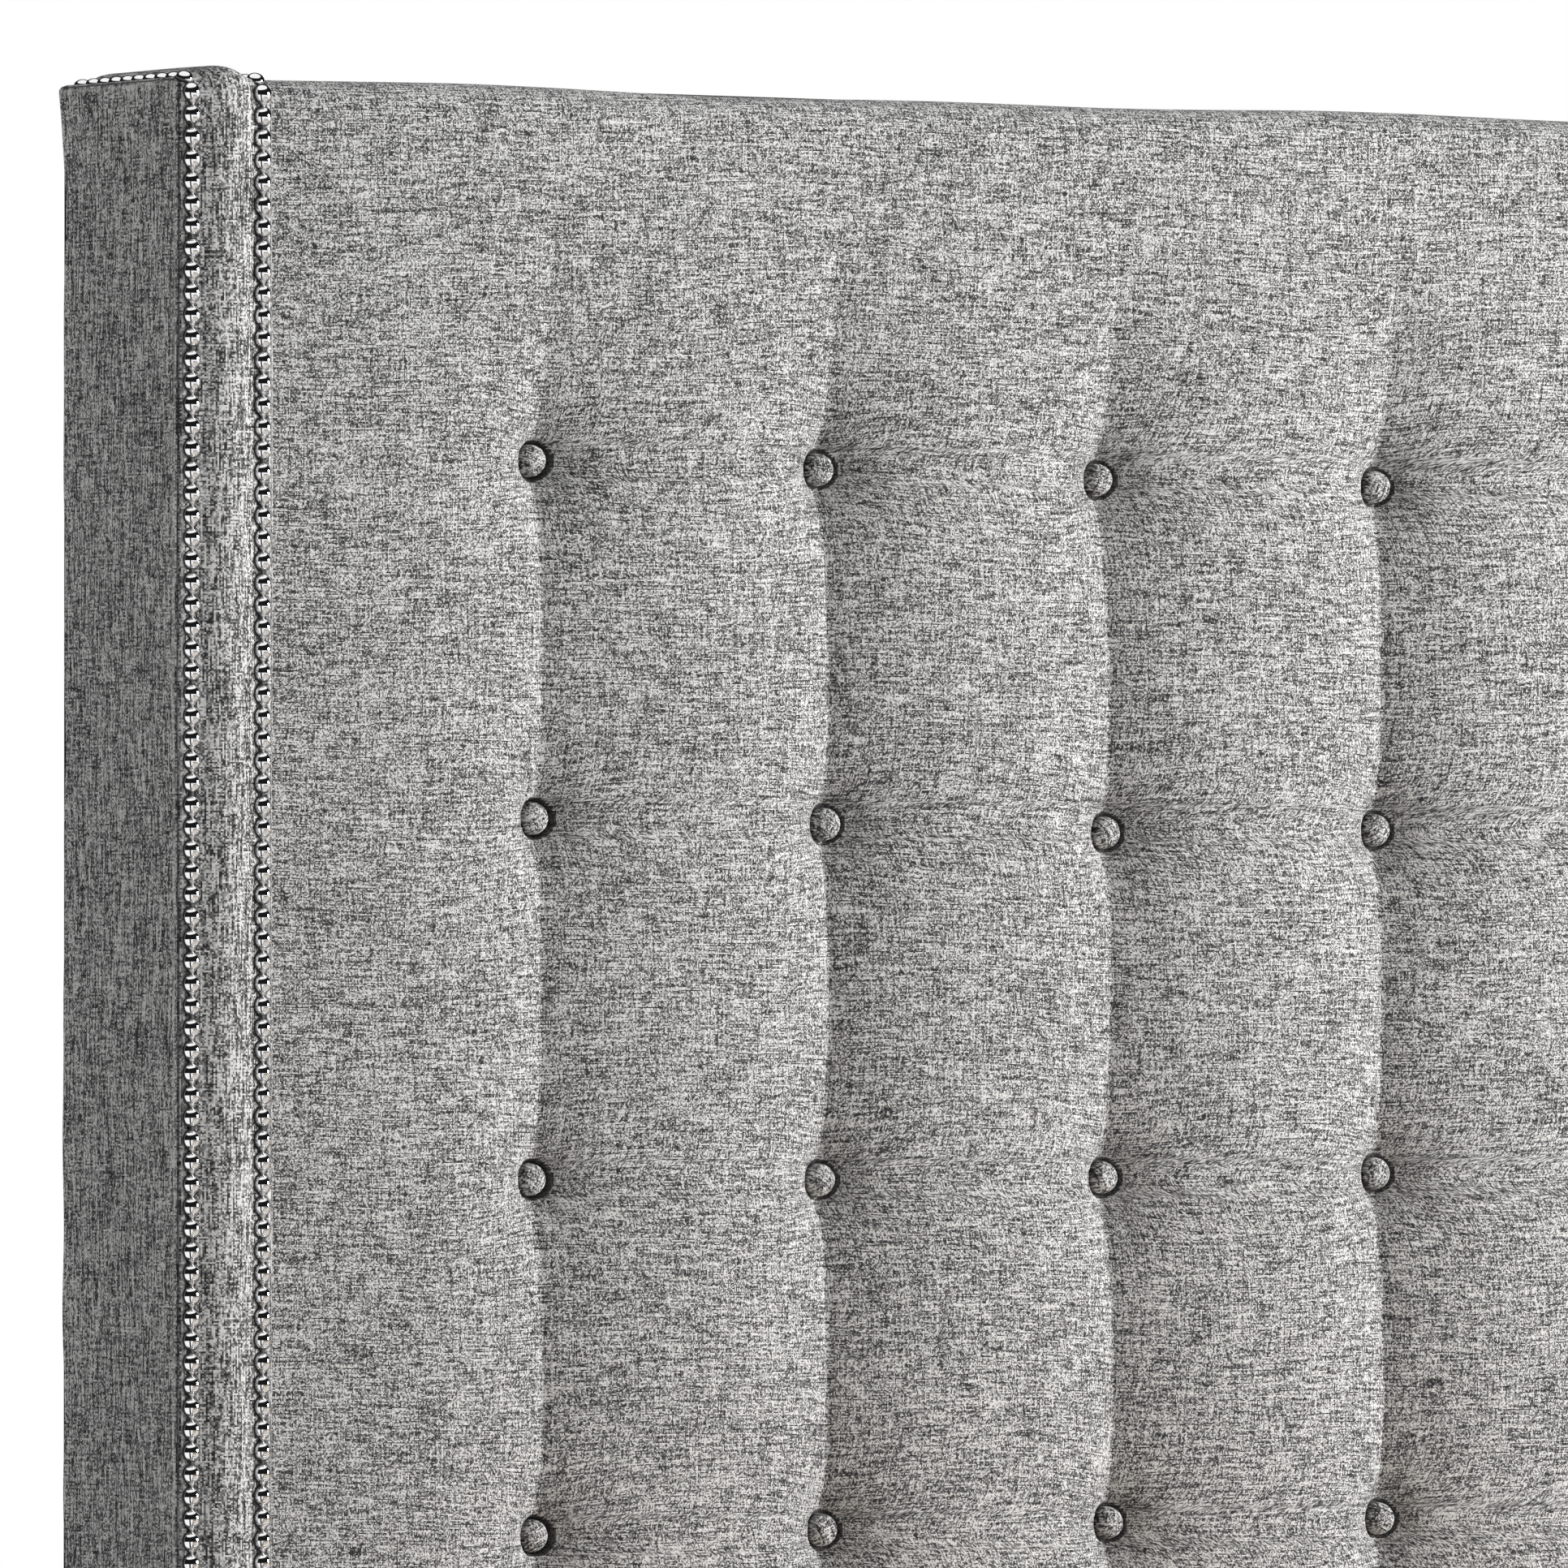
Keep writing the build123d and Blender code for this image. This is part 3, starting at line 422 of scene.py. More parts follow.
def layWeave(piece, coords=None, turned=False):  # a UV map in metres, so threads keep their size
    mesh = piece.data
    layer = mesh.uv_layers.new(name="weave")
    corners = np.zeros(len(mesh.loops), dtype=np.int32)
    mesh.loops.foreach_get("vertex_index", corners)
    if coords is None:
        normals = np.zeros(len(mesh.polygons) * 3)
        mesh.polygons.foreach_get("normal", normals)
        sizes = np.zeros(len(mesh.polygons), dtype=np.int32)
        mesh.polygons.foreach_get("loop_total", sizes)
        facing = np.abs(normals.reshape(-1, 3)).argmax(axis=1).repeat(sizes)
        pair = np.array([(1, 2), (0, 2), (0, 1)])[facing]
        flat = np.take_along_axis(readPoints(mesh)[corners], pair, axis=1)
    else:
        flat = np.asarray(coords)[corners]
    if turned:
        flat = flat[:, ::-1]
    layer.data.foreach_set("uv", np.ascontiguousarray(flat).ravel())


def readPoints(mesh, kind="co"):
    values = np.zeros(len(mesh.vertices) * 3)
    if kind == "normal":
        mesh.vertex_normals.foreach_get("vector", values)
    else:
        mesh.vertices.foreach_get("co", values)
    return values.reshape(-1, 3)


def markPaintedShade(mesh, off):  # painted shade and highlight mask: off is 0 on the seam line and 1 where its trace ends
    mark = mesh.attributes.new("seam", "FLOAT", "POINT")
    mark.data.foreach_set("value", np.clip(1 - off, 0, 1))


def gridFaces(rows, columns, closed=False, start=0):
    faces = []
    for row in range(rows - 1):
        for n in range(columns if closed else columns - 1):
            a = start + row * columns + n
            b = start + row * columns + (n + 1) % columns
            faces.append((a, b, b + columns, a + columns))
    return faces


# Tufted pad: a height field in front of the plywood, with rolled top and bottom edges
pad = {
    "columns": 6,
    "rows": 4,
    "crest": 56 * mm,
    "valley": 34 * mm,
    "seat": 22 * mm,
    "edge": 31 * mm,
    "depths": (0.74, 1.0, 0.95, 1.0, 0.95, 0.8),  # share of the full depth for each channel
    "ring": 11.9 * mm,      # radius of the crease round a button, where its painted shade ring goes
    "roll": 20 * mm,
    "crown": 2.15,          # shape of a pillow: higher is flatter in the middle
    "flank": 0.80,          # lower makes steeper channel walls
    "dimple": 37 * mm,      # reach of a button's pull
    "press": (5.5 * mm, 17 * mm),   # extra depth close to a button, and its reach
    "pull": (1.15, 1.4, 1.15),      # its stretch above and below the button, and its steepness
    "fade": 128 * mm,       # channel's reach above the first row
    "fadeShape": (1.35, 1.5),
    "pocket": 11.1 * mm,
    "pocketWall": 2.0 * mm,
    "pleat": 1.0 * mm,
    "pleatReach": 30 * mm,
    "pleatStart": (12 * mm, 10 * mm),   # from the button's middle, and over what length it grows
    "pleatTwist": 30,
    "wave": 0.9 * mm,
    "waves": (9, 34, 30),   # how many, and how close together along X and Z
    "draw": (0.3, 38 * mm),         # how far the cloth is drawn in to a button, and from where
    "drape": 0.5,
    "wander": (2.2 * mm, 1.2 * mm),     # of the threads along X
    "topWave": (1.2 * mm, 0.8 * mm, 1.5 * mm),  # two waves along the top edge and its drop
    "coarse": 5.5 * mm,
    "fine": 1.75 * mm,
    "fineReach": 21 * mm,
    "seed": 5,
}
button = {
    "solidRadius": 11 * mm,
    "radius": 10.5 * mm,
    "rim": 2.2 * mm,
    "height": 12 * mm,
    "shade": 1.7 * mm,      # height of the painted shade round the foot
    "crease": 1.9 * mm,     # half width of the painted shade ring in the pad
    "creaseBlur": 1.5 * mm,
    "dome": 0.62,           # lower is flatter on top
    "tilt": 0.035,
    "rings": 9,
    "sides": 40,
    "seed": 11,
    # how far each sits from its place in the grid, in mm along X and Z, from the left of the top row
    "shifts": (
        ((-4, 3), (-2, 1), (-3, -2), (-1, -3), (1, -1), (2, 1)),
        ((-2, 2), (3, 0), (3, -4), (-1, -1), (-2, 1), (1, -2)),
        ((-4, -1), (-1, -2), (1, -1), (-1, 1), (2, 0), (-2, 1)),
        ((-2, -1), (1, 0), (5, 2), (2, 2), (-1, -2), (3, 1)),
    ),
}


def gradedLine(low, high, marks, coarse, fine, reach):  # short steps near the marks, long ones between
    stops = [low]
    for mark in marks:
        stops += [mark - reach, mark, mark + reach]
    stops.append(high)
    line = [low]
    for start, end in zip(stops, stops[1:]):
        near = any(abs((start + end) / 2 - mark) < reach for mark in marks)
        steps = max(1, round((end - start) / (fine if near else coarse)))
        line += [start + (end - start) * (n + 1) / steps for n in range(steps)]
    return np.array(line)


def buttonPlaces():
    low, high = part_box("tuft_buttons")
    r = button["solidRadius"]
    columns = np.linspace(low.x + r, high.x - r, pad["columns"])
    rows = np.linspace(high.z - r, low.z + r, pad["rows"])
    shifts = np.array(button["shifts"]) * mm
    return columns[None, :] + shifts[..., 0], rows[:, None] + shifts[..., 1]


def pillowShare(x, z, placeX, placeZ):  # 0 in a channel, 1 on a pillow's crest
    lines = [np.interp(z, placeZ[::-1, c], placeX[::-1, c]) for c in range(placeX.shape[1])]
    half = (lines[1] - lines[0]) / 2
    share = np.where(x < lines[0], (lines[0] - x) / half, (x - lines[-1]) / half)
    for left, right in zip(lines, lines[1:]):
        across = (x - left) / (right - left)
        share = np.where((x >= left) & (x <= right), 2 * np.minimum(across, 1 - across), share)
    depths = np.array(pad["depths"])[np.abs(np.stack(lines) - x).argmin(axis=0)]
    return np.clip(share, 0, 1), depths


def padThickness(form, x, z, placeX, placeZ, low, high):
    rng = np.random.default_rng(form["seed"])
    share, depths = pillowShare(x, z, placeX, placeZ)
    swell = (1 - (1 - share) ** form["crown"]) ** form["flank"]
    above = np.clip((z - placeZ[0].mean()) / form["fade"], 0, 3)
    rate, power = form["fadeShape"]
    channel = (form["crest"] - form["valley"]) * np.exp(-rate * above ** power)
    thick = form["crest"] - channel * depths * (1 - swell)
    reach = placeX[0, 0] - low
    gap = np.clip(np.minimum(x - low, high - x) / reach, 0, 1)
    side = (1 - (1 - gap) ** form["crown"]) ** form["flank"]
    thick = thick - (form["crest"] - form["edge"]) * (1 - side)
    pull = form["valley"] - form["seat"]
    up, down, steep = form["pull"]
    start, growth = form["pleatStart"]
    for cx, cz in zip(placeX.ravel(), placeZ.ravel()):
        dx, dz = x - cx, z - cz
        far = np.hypot(dx, dz / np.where(dz > 0, up, down))
        thick = thick - pull * np.exp(-(far / form["dimple"]) ** steep)
        thick = thick - form["press"][0] * np.exp(-(far / form["press"][1]) ** 2)
        angle = np.arctan2(dz, dx)
        count = rng.integers(7, 10)
        near = np.exp(-far / form["pleatReach"]) * np.clip((far - start) / growth, 0, 1)
        folds = np.cos(angle * count + rng.uniform(0, phase) + far * form["pleatTwist"])
        uneven = 0.6 + 0.4 * np.sin(angle * 2 + rng.uniform(0, phase))
        thick = thick + form["pleat"] * near * folds * uneven
    waves = 0
    count, closeX, closeZ = form["waves"]
    for _ in range(count):
        angle = rng.uniform(-closeX, closeX) * x + rng.uniform(-closeZ, closeZ) * z
        waves = waves + np.sin(angle + rng.uniform(0, phase)) / 3
    calm = np.clip((thick - form["valley"]) / (form["crest"] - form["valley"]), 0, 1)
    thick = thick + form["wave"] * waves * calm * 0.6
    for cx, cz in zip(placeX.ravel(), placeZ.ravel()):
        hole = 1 - np.clip((np.hypot(x - cx, z - cz) - form["pocket"]) / form["pocketWall"], 0, 1)
        hole = hole * hole * (3 - 2 * hole)
        thick = thick * (1 - hole) + form["seat"] * hole
    return thick


def makePad(form):
    low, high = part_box("tufted_pad")
    placeX, placeZ = buttonPlaces()
    back, roll = high.y, form["roll"]
    steps = (form["coarse"], form["fine"], form["fineReach"])
    xs = gradedLine(low.x, high.x, placeX.mean(axis=0), *steps)
    zs = gradedLine(low.z + roll, high.z - roll, placeZ.mean(axis=1)[::-1], *steps)
    gridX, gridZ = np.meshgrid(xs, zs)
    thick = padThickness(form, gridX, gridZ, placeX, placeZ, low.x, high.x)
    u, v = gridX.copy(), gridZ.copy()  # thread places: the cloth is drawn in around each button
    for cx, cz in zip(placeX.ravel(), placeZ.ravel()):
        dx, dz = gridX - cx, gridZ - cz
        draw = form["draw"][0] * np.exp(-(np.hypot(dx, dz) / form["draw"][1]) ** 2)
        u += dx * draw
        v += dz * draw
    cut = np.cumsum(np.hypot(np.diff(thick, axis=1, prepend=thick[:, :1]),
                             np.diff(gridX, axis=1, prepend=gridX[:, :1])), axis=1)
    u = u + (cut - (gridX - low.x)) * form["drape"]
    wide, small = form["wander"]
    v = v + wide * np.sin(gridX * 9.0 + 1.3) + small * np.sin(gridX * 23.0 + gridZ * 5)
    bends = [math.radians(a) for a in (12, 25, 38, 51, 64, 77, 90)]  # steps round the rolled edges
    wide, small, drop = form["topWave"]
    rise = wide * np.sin(xs * 7 + 0.6) + small * np.sin(xs * 19) - drop
    layers = [(low.z + 0 * xs, 0 * xs, u[0], v[0] - roll - thick[0])]
    for a in reversed(bends):
        layers.append((low.z + roll * (1 - math.sin(a)) + 0 * xs, thick[0] - roll * (1 - math.cos(a)),
                       u[0], v[0] - roll * a))
    layers += [(gridZ[n], thick[n], u[n], v[n]) for n in range(len(zs))]
    for a in bends:
        layers.append((high.z - roll * (1 - math.sin(a)) + rise * math.sin(a),
                       thick[-1] - roll * (1 - math.cos(a)), u[-1], v[-1] + roll * a))
    for share in (0.66, 0.33, 0.0):
        depth = (thick[-1] - roll) * share
        layers.append((high.z + rise, depth, u[-1], v[-1] + roll * 2 + (thick[-1] - roll) * (1 - share)))
    verts = [(xs[n], back - depth[n], z[n]) for z, depth, _, _ in layers for n in range(len(xs))]
    coords = [(rowU[n], rowV[n]) for _, _, rowU, rowV in layers for n in range(len(xs))]
    count, last = len(xs), (len(layers) - 1) * len(xs)
    faces = gridFaces(len(layers), count)
    faces += [(n + 1, n, last + n, last + n + 1) for n in range(count - 1)]
    faces.append([row * count for row in range(len(layers))])
    faces.append([row * count + count - 1 for row in reversed(range(len(layers)))])
    piece = newPiece("tuftedPad", verts, faces, greyWeave)
    layWeave(piece, coords)
    points = readPoints(piece.data)
    off = np.full(len(points), 1.0)
    for cx, cz in zip(placeX.ravel(), placeZ.ravel()):
        far = np.abs(np.hypot(points[:, 0] - cx, points[:, 2] - cz) - form["ring"])
        off = np.minimum(off, np.where(points[:, 1] < back - form["seat"] + 1 * mm, far, 1.0))
    # painted shade: a dark ring in the pad's cloth round each button's pocket, standing in for its contact
    # shadow
    markPaintedShade(piece.data, (off - button["crease"]) / button["creaseBlur"])
    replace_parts(piece, "tufted_pad")
    return placeX, placeZ, back


def makeButtons(placeX, placeZ, back):
    rng = np.random.default_rng(button["seed"])
    verts, faces, coords = [], [], []
    r, rim, height, sides = button["radius"], button["rim"], button["height"], button["sides"]
    outline = [(0.80 * r, 0), (0.985 * r, 0.8 * mm), (r, rim * 0.7)]
    for n in range(button["rings"]):
        a = (n + 0.5) / button["rings"] * math.pi / 2
        outline.append((r * math.cos(a) ** button["dome"], rim + (height - rim) * math.sin(a)))
    for x, z in zip(placeX.ravel(), placeZ.ravel()):
        start = len(verts)
        spin = rng.uniform(0, math.pi)
        tilt = rng.normal(0, button["tilt"], 2)
        for radius, lift in outline + [(0, height)]:
            for side in range(sides if radius else 1):
                a = math.tau * side / sides
                px, pz = radius * math.cos(a), radius * math.sin(a)
                verts.append((x + px, back - pad["seat"] - lift - px * tilt[0] - pz * tilt[1], z + pz))
                coords.append((x + px * math.cos(spin) - pz * math.sin(spin),
                               z + px * math.sin(spin) + pz * math.cos(spin)))
        faces += gridFaces(len(outline), sides, True, start)
        top, rimStart = len(verts) - 1, len(verts) - 1 - sides
        faces += [(rimStart + side, rimStart + (side + 1) % sides, top) for side in range(sides)]
        faces.append([start + side for side in reversed(range(sides))])
    piece = newPiece("tuftButtons", verts, faces, greyWeave)
    layWeave(piece, coords)
    # painted shade darkening each button's foot where it sits in its pocket
    lifts = back - pad["seat"] - readPoints(piece.data)[:, 1]
    markPaintedShade(piece.data, (lifts - button["shade"]) / button["creaseBlur"])
    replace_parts(piece, "tuft_buttons")


buttonX, buttonZ, plywoodFace = makePad(pad)
makeButtons(buttonX, buttonZ, plywoodFace)
print("tufted pad and buttons")


# Padded covers: a softened copy of each cover's solid, with its seams
covers = {  # "faces" is 1 on a wing's side away from the bed and -1 on the one towards it
    "wing_outer_cover": {"turned": True, "voxel": 2.4 * mm, "smooth": 3, "wave": 2.2 * mm, "fill": 0.6,
                         "faces": 1},
    "wing_inner_cover": {"turned": True, "voxel": 2.8 * mm, "smooth": 4, "wave": 0.9 * mm, "fill": 0.6,
                         "faces": -1},
    "wing_front_band": {"turned": True, "voxel": 2.8 * mm, "smooth": 5, "wave": 0.7 * mm, "fill": 0.8},
    "side_rail_cover": {"turned": False, "voxel": 4.5 * mm, "smooth": 6, "wave": 1.2 * mm, "fill": 0.6},
    "footboard_pad": {"turned": False, "voxel": 5 * mm, "smooth": 7, "wave": 1.4 * mm, "fill": 0.8},
    "footboard_inner_cover": {"turned": False, "voxel": 4 * mm, "smooth": 4, "wave": 0.7 * mm, "fill": 0.4},
}
seam = {
    "corner": 16 * mm,
    "width": 2.4 * mm,
    "depth": 1.0 * mm,
    "reach": 10 * mm,
    "slant": 0.7,           # from the two straight distances to the one across the corner
    "flare": 34 * mm,       # how far down the top back corner's flare reaches
    "stand": 6 * mm,
    "tuck": (0.3, 2.4, 1.1),        # the hollow under the flare: its share, place and length
}
ripple = {  # length in metres and share of a cover's long and short waves, and how far they sink it
    "long": (0.28, 0.6),
    "short": (0.06, 0.25),
    "sink": 0.3,
}


def waves(points, step, seed):  # smooth random waves over a set of points, about -1 to 1
    rng = np.random.default_rng(seed)
    ways = rng.normal(0, 1, (8, 3)) * 2.2 / step
    return np.sin(points @ ways.T + rng.uniform(0, phase, 8)).sum(axis=1) / 4


def foldSeam(mesh, points, normals, box, side, look):  # folded corner of a wing's side and its front band, with painted shade in its crease and a painted highlight beside it
    low, high = box
    x, y, z = points.T
    edge = high.x if side * look["faces"] > 0 else low.x
    across, inward = np.abs(edge - x), np.minimum(y - low.y, high.z - z)
    off = np.abs(across - inward) * seam["slant"] + np.clip(across + inward - seam["corner"], 0, 1)
    # painted shade along the fold's crease and a painted highlight beside it; the groove pressed in below
    # is real shape
    markPaintedShade(mesh, off / seam["reach"])
    points = points - normals * (seam["depth"] * np.exp(-(off / seam["width"]) ** 2))[:, None]
    if look["faces"] > 0:  # the cloth stands out at the top back corner
        stand = np.clip((y - low.y) / (high.y - low.y), 0, 1) ** 2
        drop = (high.z - z) / seam["flare"]
        share, place, length = seam["tuck"]
        flare = np.exp(-drop) - share * np.exp(-((drop - place) / length) ** 2)
        points[:, 0] += side * stand * seam["stand"] * flare
    return points


def softCopy(node, look, side=0):
    source = nodes[node]
    piece = bpy.data.objects.new(node + "_soft", source.data.copy())
    bpy.context.scene.collection.objects.link(piece)
    remesh = piece.modifiers.new("remesh", "REMESH")
    remesh.mode = "VOXEL"
    remesh.voxel_size = look["voxel"]
    relax = piece.modifiers.new("relax", "SMOOTH")
    relax.factor = 0.5
    relax.iterations = look["smooth"]
    shaped = bpy.data.meshes.new_from_object(piece.evaluated_get(bpy.context.evaluated_depsgraph_get()))
    piece.modifiers.clear()
    piece.data = shaped
    points, normals = readPoints(shaped), readPoints(shaped, "normal")
    (longStep, longShare), (shortStep, shortShare) = ripple["long"], ripple["short"]
    height = (waves(points, longStep, len(node)) * longShare
              + waves(points, shortStep, len(node) + 1) * shortShare - ripple["sink"])
    points = points + normals * (height * look["wave"])[:, None]
    if side:
        points = foldSeam(shaped, points, normals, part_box(node), side, look)
    shaped.vertices.foreach_set("co", points.ravel())
    shaped.update()
    shaped.materials.clear()
    shaped.materials.append(wingWeave if node.startswith("wing") else greyWeave)
    shaped.shade_smooth()
    layWeave(piece, None, look["turned"])
    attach(piece, "bed_frame")
    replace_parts(piece, node)


for side, sign in (("left", -1), ("right", 1)):
    for name in ("wing_outer_cover", "wing_inner_cover", "wing_front_band", "side_rail_cover"):
        softCopy(name + "_" + side, covers[name], sign if "faces" in covers[name] else 0)
for name in ("footboard_pad", "footboard_inner_cover"):
    softCopy(name, covers[name])
print("covers")


# Nail trim: linked domes with teardrop tails, and a plain round nail at every fifth place
trim = {
    "pitch": 13.9 * mm,
    "every": 5,
    "corner": 13 * mm,
    "solidHeight": 3.4 * mm,    # of the trim in the frame
    "radius": 5.8 * mm,
    "height": 5.4 * mm,
    "foot": 0.9 * mm,
    "rim": 0.7 * mm,            # the flange round a dome's foot, painted dark as its contact shadow
    "rimHeight": 0.63 * mm,
    "darkFoot": 0.95,           # share of the foot's height that gets the painted contact shadow
    "rings": 8,
    "sides": 24,
    "tail": ((2.6, 3.9, 3.4), (4.6, 3.3, 2.8), (6.0, 2.4, 2.0), (7.2, 1.5, 1.4), (9.4, 1.2, 1.0)),
    "band": (1.4, 0.8),         # half width and thickness of the strip under the domes
    "sink": 3.4 * mm,           # the nails along the top sit deeper in the padding
}


def trimPath(box):
    low, high = box
    front, top = low.y + trim["solidHeight"], high.z - trim["solidHeight"]
    upright = top - trim["corner"] - low.z
    turn = trim["corner"] * math.pi / 2

    def point(distance):  # place on the path, then the directions along it and out of the wing
        if distance <= upright:
            return (front, low.z + distance), (0, 1), (-1, 0)
        if distance <= upright + turn:
            a = (distance - upright) / trim["corner"]
            out = (-math.cos(a), math.sin(a))
            centre = (front + trim["corner"], top - trim["corner"])
            bend = trim["corner"] - trim["sink"] * a / (math.pi / 2)
            place = (centre[0] + bend * out[0], centre[1] + bend * out[1])
            return place, (math.sin(a), math.cos(a)), out
        return (front + trim["corner"] + distance - upright - turn, top - trim["sink"]), (1, 0), (0, 1)

    count = int((upright + turn + high.y - front - trim["corner"]) / trim["pitch"])
    return point, count


def domeMesh():
    sides, rings = trim["sides"], trim["rings"]
    radius, foot, height = trim["radius"], trim["foot"], trim["height"]
    outline = [(radius + trim["rim"], 0), (radius + trim["rim"], trim["rimHeight"])]
    for n in range(rings):
        a = n / rings * math.pi / 2
        outline.append((radius * math.cos(a), foot + (height - foot) * math.sin(a)))
    verts = [(r * math.cos(math.tau * n / sides), r * math.sin(math.tau * n / sides), h)
             for r, h in outline for n in range(sides)]
    verts.append((0, 0, height))
    faces = gridFaces(len(outline), sides, True)
    last = len(verts) - 1 - sides
    faces += [(last + n, last + (n + 1) % sides, len(verts) - 1) for n in range(sides)]
    faces.append(list(reversed(range(sides))))
    return verts, faces


def tailMesh():
    steps = 9
    verts = []
    for along, half, high in trim["tail"]:
        for n in range(steps):
            a = math.pi * n / (steps - 1)
            verts.append((half * mm * math.cos(a), -along * mm, high * mm * math.sin(a)))
    faces = gridFaces(len(trim["tail"]), steps)
    faces += [list(range(steps)), list(reversed(range(len(verts) - steps, len(verts))))]
    return verts, faces


def makeTrim(chrome):
    dome, tail = domeMesh(), tailMesh()
    nailVerts, nailFaces, nailLifts = [], [], []

    def put(part, place, along, out, x, verts, faces, lifts):
        start = len(verts)
        lifts += [lift for _, _, lift in part[0]]
        for across, run, lift in part[0]:
            verts.append((x + across, place[0] + along[0] * run + out[0] * lift,
                          place[1] + along[1] * run + out[1] * lift))
        faces += [[start + n for n in face] for face in part[1]]

    def show(name, verts, faces, lifts):
        piece = newPiece(name, verts, faces, chrome)
        # painted contact shadow on each dome's foot
        markPaintedShade(piece.data, np.array(lifts) / trim["foot"] - trim["darkFoot"])
        return piece

    for side in ("left", "right"):
        for line in ("outer", "inner"):
            node = line + "_nail_strip_" + side
            low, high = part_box(node)
            x = (low.x + high.x) / 2
            point, count = trimPath((low, high))
            verts, faces, lifts = [], [], []
            for number in range(count):
                place, along, out = point(trim["pitch"] * (number + 0.5))
                if number % trim["every"]:
                    put(dome, place, along, out, x, verts, faces, lifts)
                    put(tail, place, along, out, x, verts, faces, lifts)
                else:
                    put(dome, place, along, out, x, nailVerts, nailFaces, nailLifts)
            half, thick = trim["band"][0] * mm, trim["band"][1] * mm
            start, runs = len(verts), count * 4
            for n in range(runs + 1):
                place, along, out = point(trim["pitch"] * count * n / runs)
                lifts += [trim["foot"]] * 4
                for across, lift in ((-half, 0), (-half, thick), (half, thick), (half, 0)):
                    verts.append((x + across, place[0] + out[0] * lift, place[1] + out[1] * lift))
            faces += gridFaces(runs + 1, 4, True, start)
            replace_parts(show(node + "_trim", verts, faces, lifts), node)
    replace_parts(show("roundNails", nailVerts, nailFaces, nailLifts), "strip_nails")


makeTrim(metalFinish("nail_chrome"))
print("nail trim")


# Lining over the back, and the grey cloth that wraps over the top onto it
backing = {
    "columns": 120,
    "rows": 96,
    "inset": 3 * mm,
    "lift": 0.9 * mm,       # how far inside the solid's back face it lies
    "sag": 0.7 * mm,
    "hem": 16 * mm,
    "hemRise": 0.5 * mm,
    "drop": 60 * mm,
    "wrapColumns": 150,
    "crumple": 0.5 * mm,
}


def makeBacking():
    low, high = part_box("headboard_back_cover")
    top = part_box("wing_frame_left")[1].z
    xs = np.linspace(low.x + backing["inset"], high.x - backing["inset"], backing["columns"])
    zs = np.linspace(low.z + 1 * mm, top, backing["rows"])
    verts, coords = [], []
    for z in zs:
        for x in xs:
            edge = min(x - low.x, high.x - x, z - low.z, top - z)
            hem = backing["hemRise"] if edge < backing["hem"] else 0
            slack = (noise.noise(Vector((x * 3, z * 3, 2.0))) * 0.8
                     + noise.noise(Vector((x * 9, z * 9, 5.0))) * 0.3)
            verts.append((x, high.y - backing["lift"] + hem + backing["sag"] * slack * min(1, edge * 8), z))
            coords.append((x, z))
    piece = newPiece("backLining", verts, gridFaces(len(zs), len(xs)), liningFinish(lining))
    layWeave(piece, coords)
    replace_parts(piece, "headboard_back_cover")
    padLow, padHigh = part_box("tufted_pad")
    front, back = padHigh.y - 2 * mm, high.y - 1.5 * mm
    line = [(front, padHigh.z - 0.5 * mm)]
    line += [(front + (back - front) * n / 8, padHigh.z - 1.5 * mm - 2 * mm * math.sin(math.pi * n / 8))
             for n in range(1, 9)]
    line += [(back + 1.6 * mm, padHigh.z - 5 * mm), (back + 2.4 * mm, padHigh.z - 12 * mm),
             (back + 2.2 * mm, padHigh.z - backing["drop"])]
    xs = np.linspace(padLow.x + 1 * mm, padHigh.x - 1 * mm, backing["wrapColumns"])
    verts = [(x, y + backing["crumple"] * noise.noise(Vector((x * 12, y * 9, z * 9))), z)
             for y, z in line for x in xs]
    run = np.cumsum([0] + [math.dist(a, b) for a, b in zip(line, line[1:])])
    coords = [(x, s) for s in run for x in xs]
    cap = newPiece("topWrap", verts, gridFaces(len(line), len(xs)), greyWeave)
    layWeave(cap, coords)
    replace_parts(cap, "headboard_back_cover")


makeBacking()
print("backing")


# Webbing straps under the slats, slack between them
strap = {
    "width": 30 * mm,
    "thickness": 1.4 * mm,
    "slack": 3 * mm,
    "ease": 1.01,           # flat length for each metre of the deck
}


def makeStraps():
    low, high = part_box("slat_straps")
    slats = sorted((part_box(name) for name in nodes if name.startswith(("slat_0", "slat_1"))),
                   key=lambda box: box[0].y)
    cloth = webbingFinish(webbing)
    verts, faces = [], []
    for x in (low.x + strap["width"] / 2, high.x - strap["width"] / 2):
        line = []
        for one, two in zip(slats, slats[1:] + [None]):
            line += [(one[0].y, high.z), (one[1].y, high.z)]
            if two:
                gap = two[0].y - one[1].y
                line += [(one[1].y + gap * n / 6, high.z - strap["slack"] * math.sin(math.pi * n / 6))
                         for n in range(1, 6)]
        start = len(verts)
        half, thick = strap["width"] / 2, strap["thickness"]
        for y, z in line:
            verts += [(x - half, y, z), (x + half, y, z),
                      (x + half, y, z - thick), (x - half, y, z - thick)]
        faces += gridFaces(len(line), 4, True, start)
        faces += [[start + n for n in range(4)], [len(verts) - 1 - n for n in range(4)]]
    piece = newPiece("slatStraps", verts, faces, cloth)
    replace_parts(piece, "slat_straps")


makeStraps()
print("straps")


# Finishes for the frame's own pieces
def dressFrame():
    made = {}
    for part in record["subparts"]:
        name, slot = part["node"], part["material_slot"]
        low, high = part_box(name)
        axis = max(range(3), key=lambda n: (high - low)[n])
        key = (slot, axis if slot in timber else 0)
        if key not in made:
            if slot in timber:
                made[key] = woodFinish(slot, axis)
            elif slot in metal:
                made[key] = metalFinish(slot)
            elif slot == "black_plastic":
                made[key] = plasticFinish(plastic)
            elif slot == "twine":
                made[key] = twineFinish(twine)
            else:
                made[key] = greyWeave
        mesh = nodes[name].data
        if not mesh.materials:
            mesh.materials.append(made[key])
        for place in nodes[name].material_slots:
            place.material = made[key]


dressFrame()
print("frame finishes")
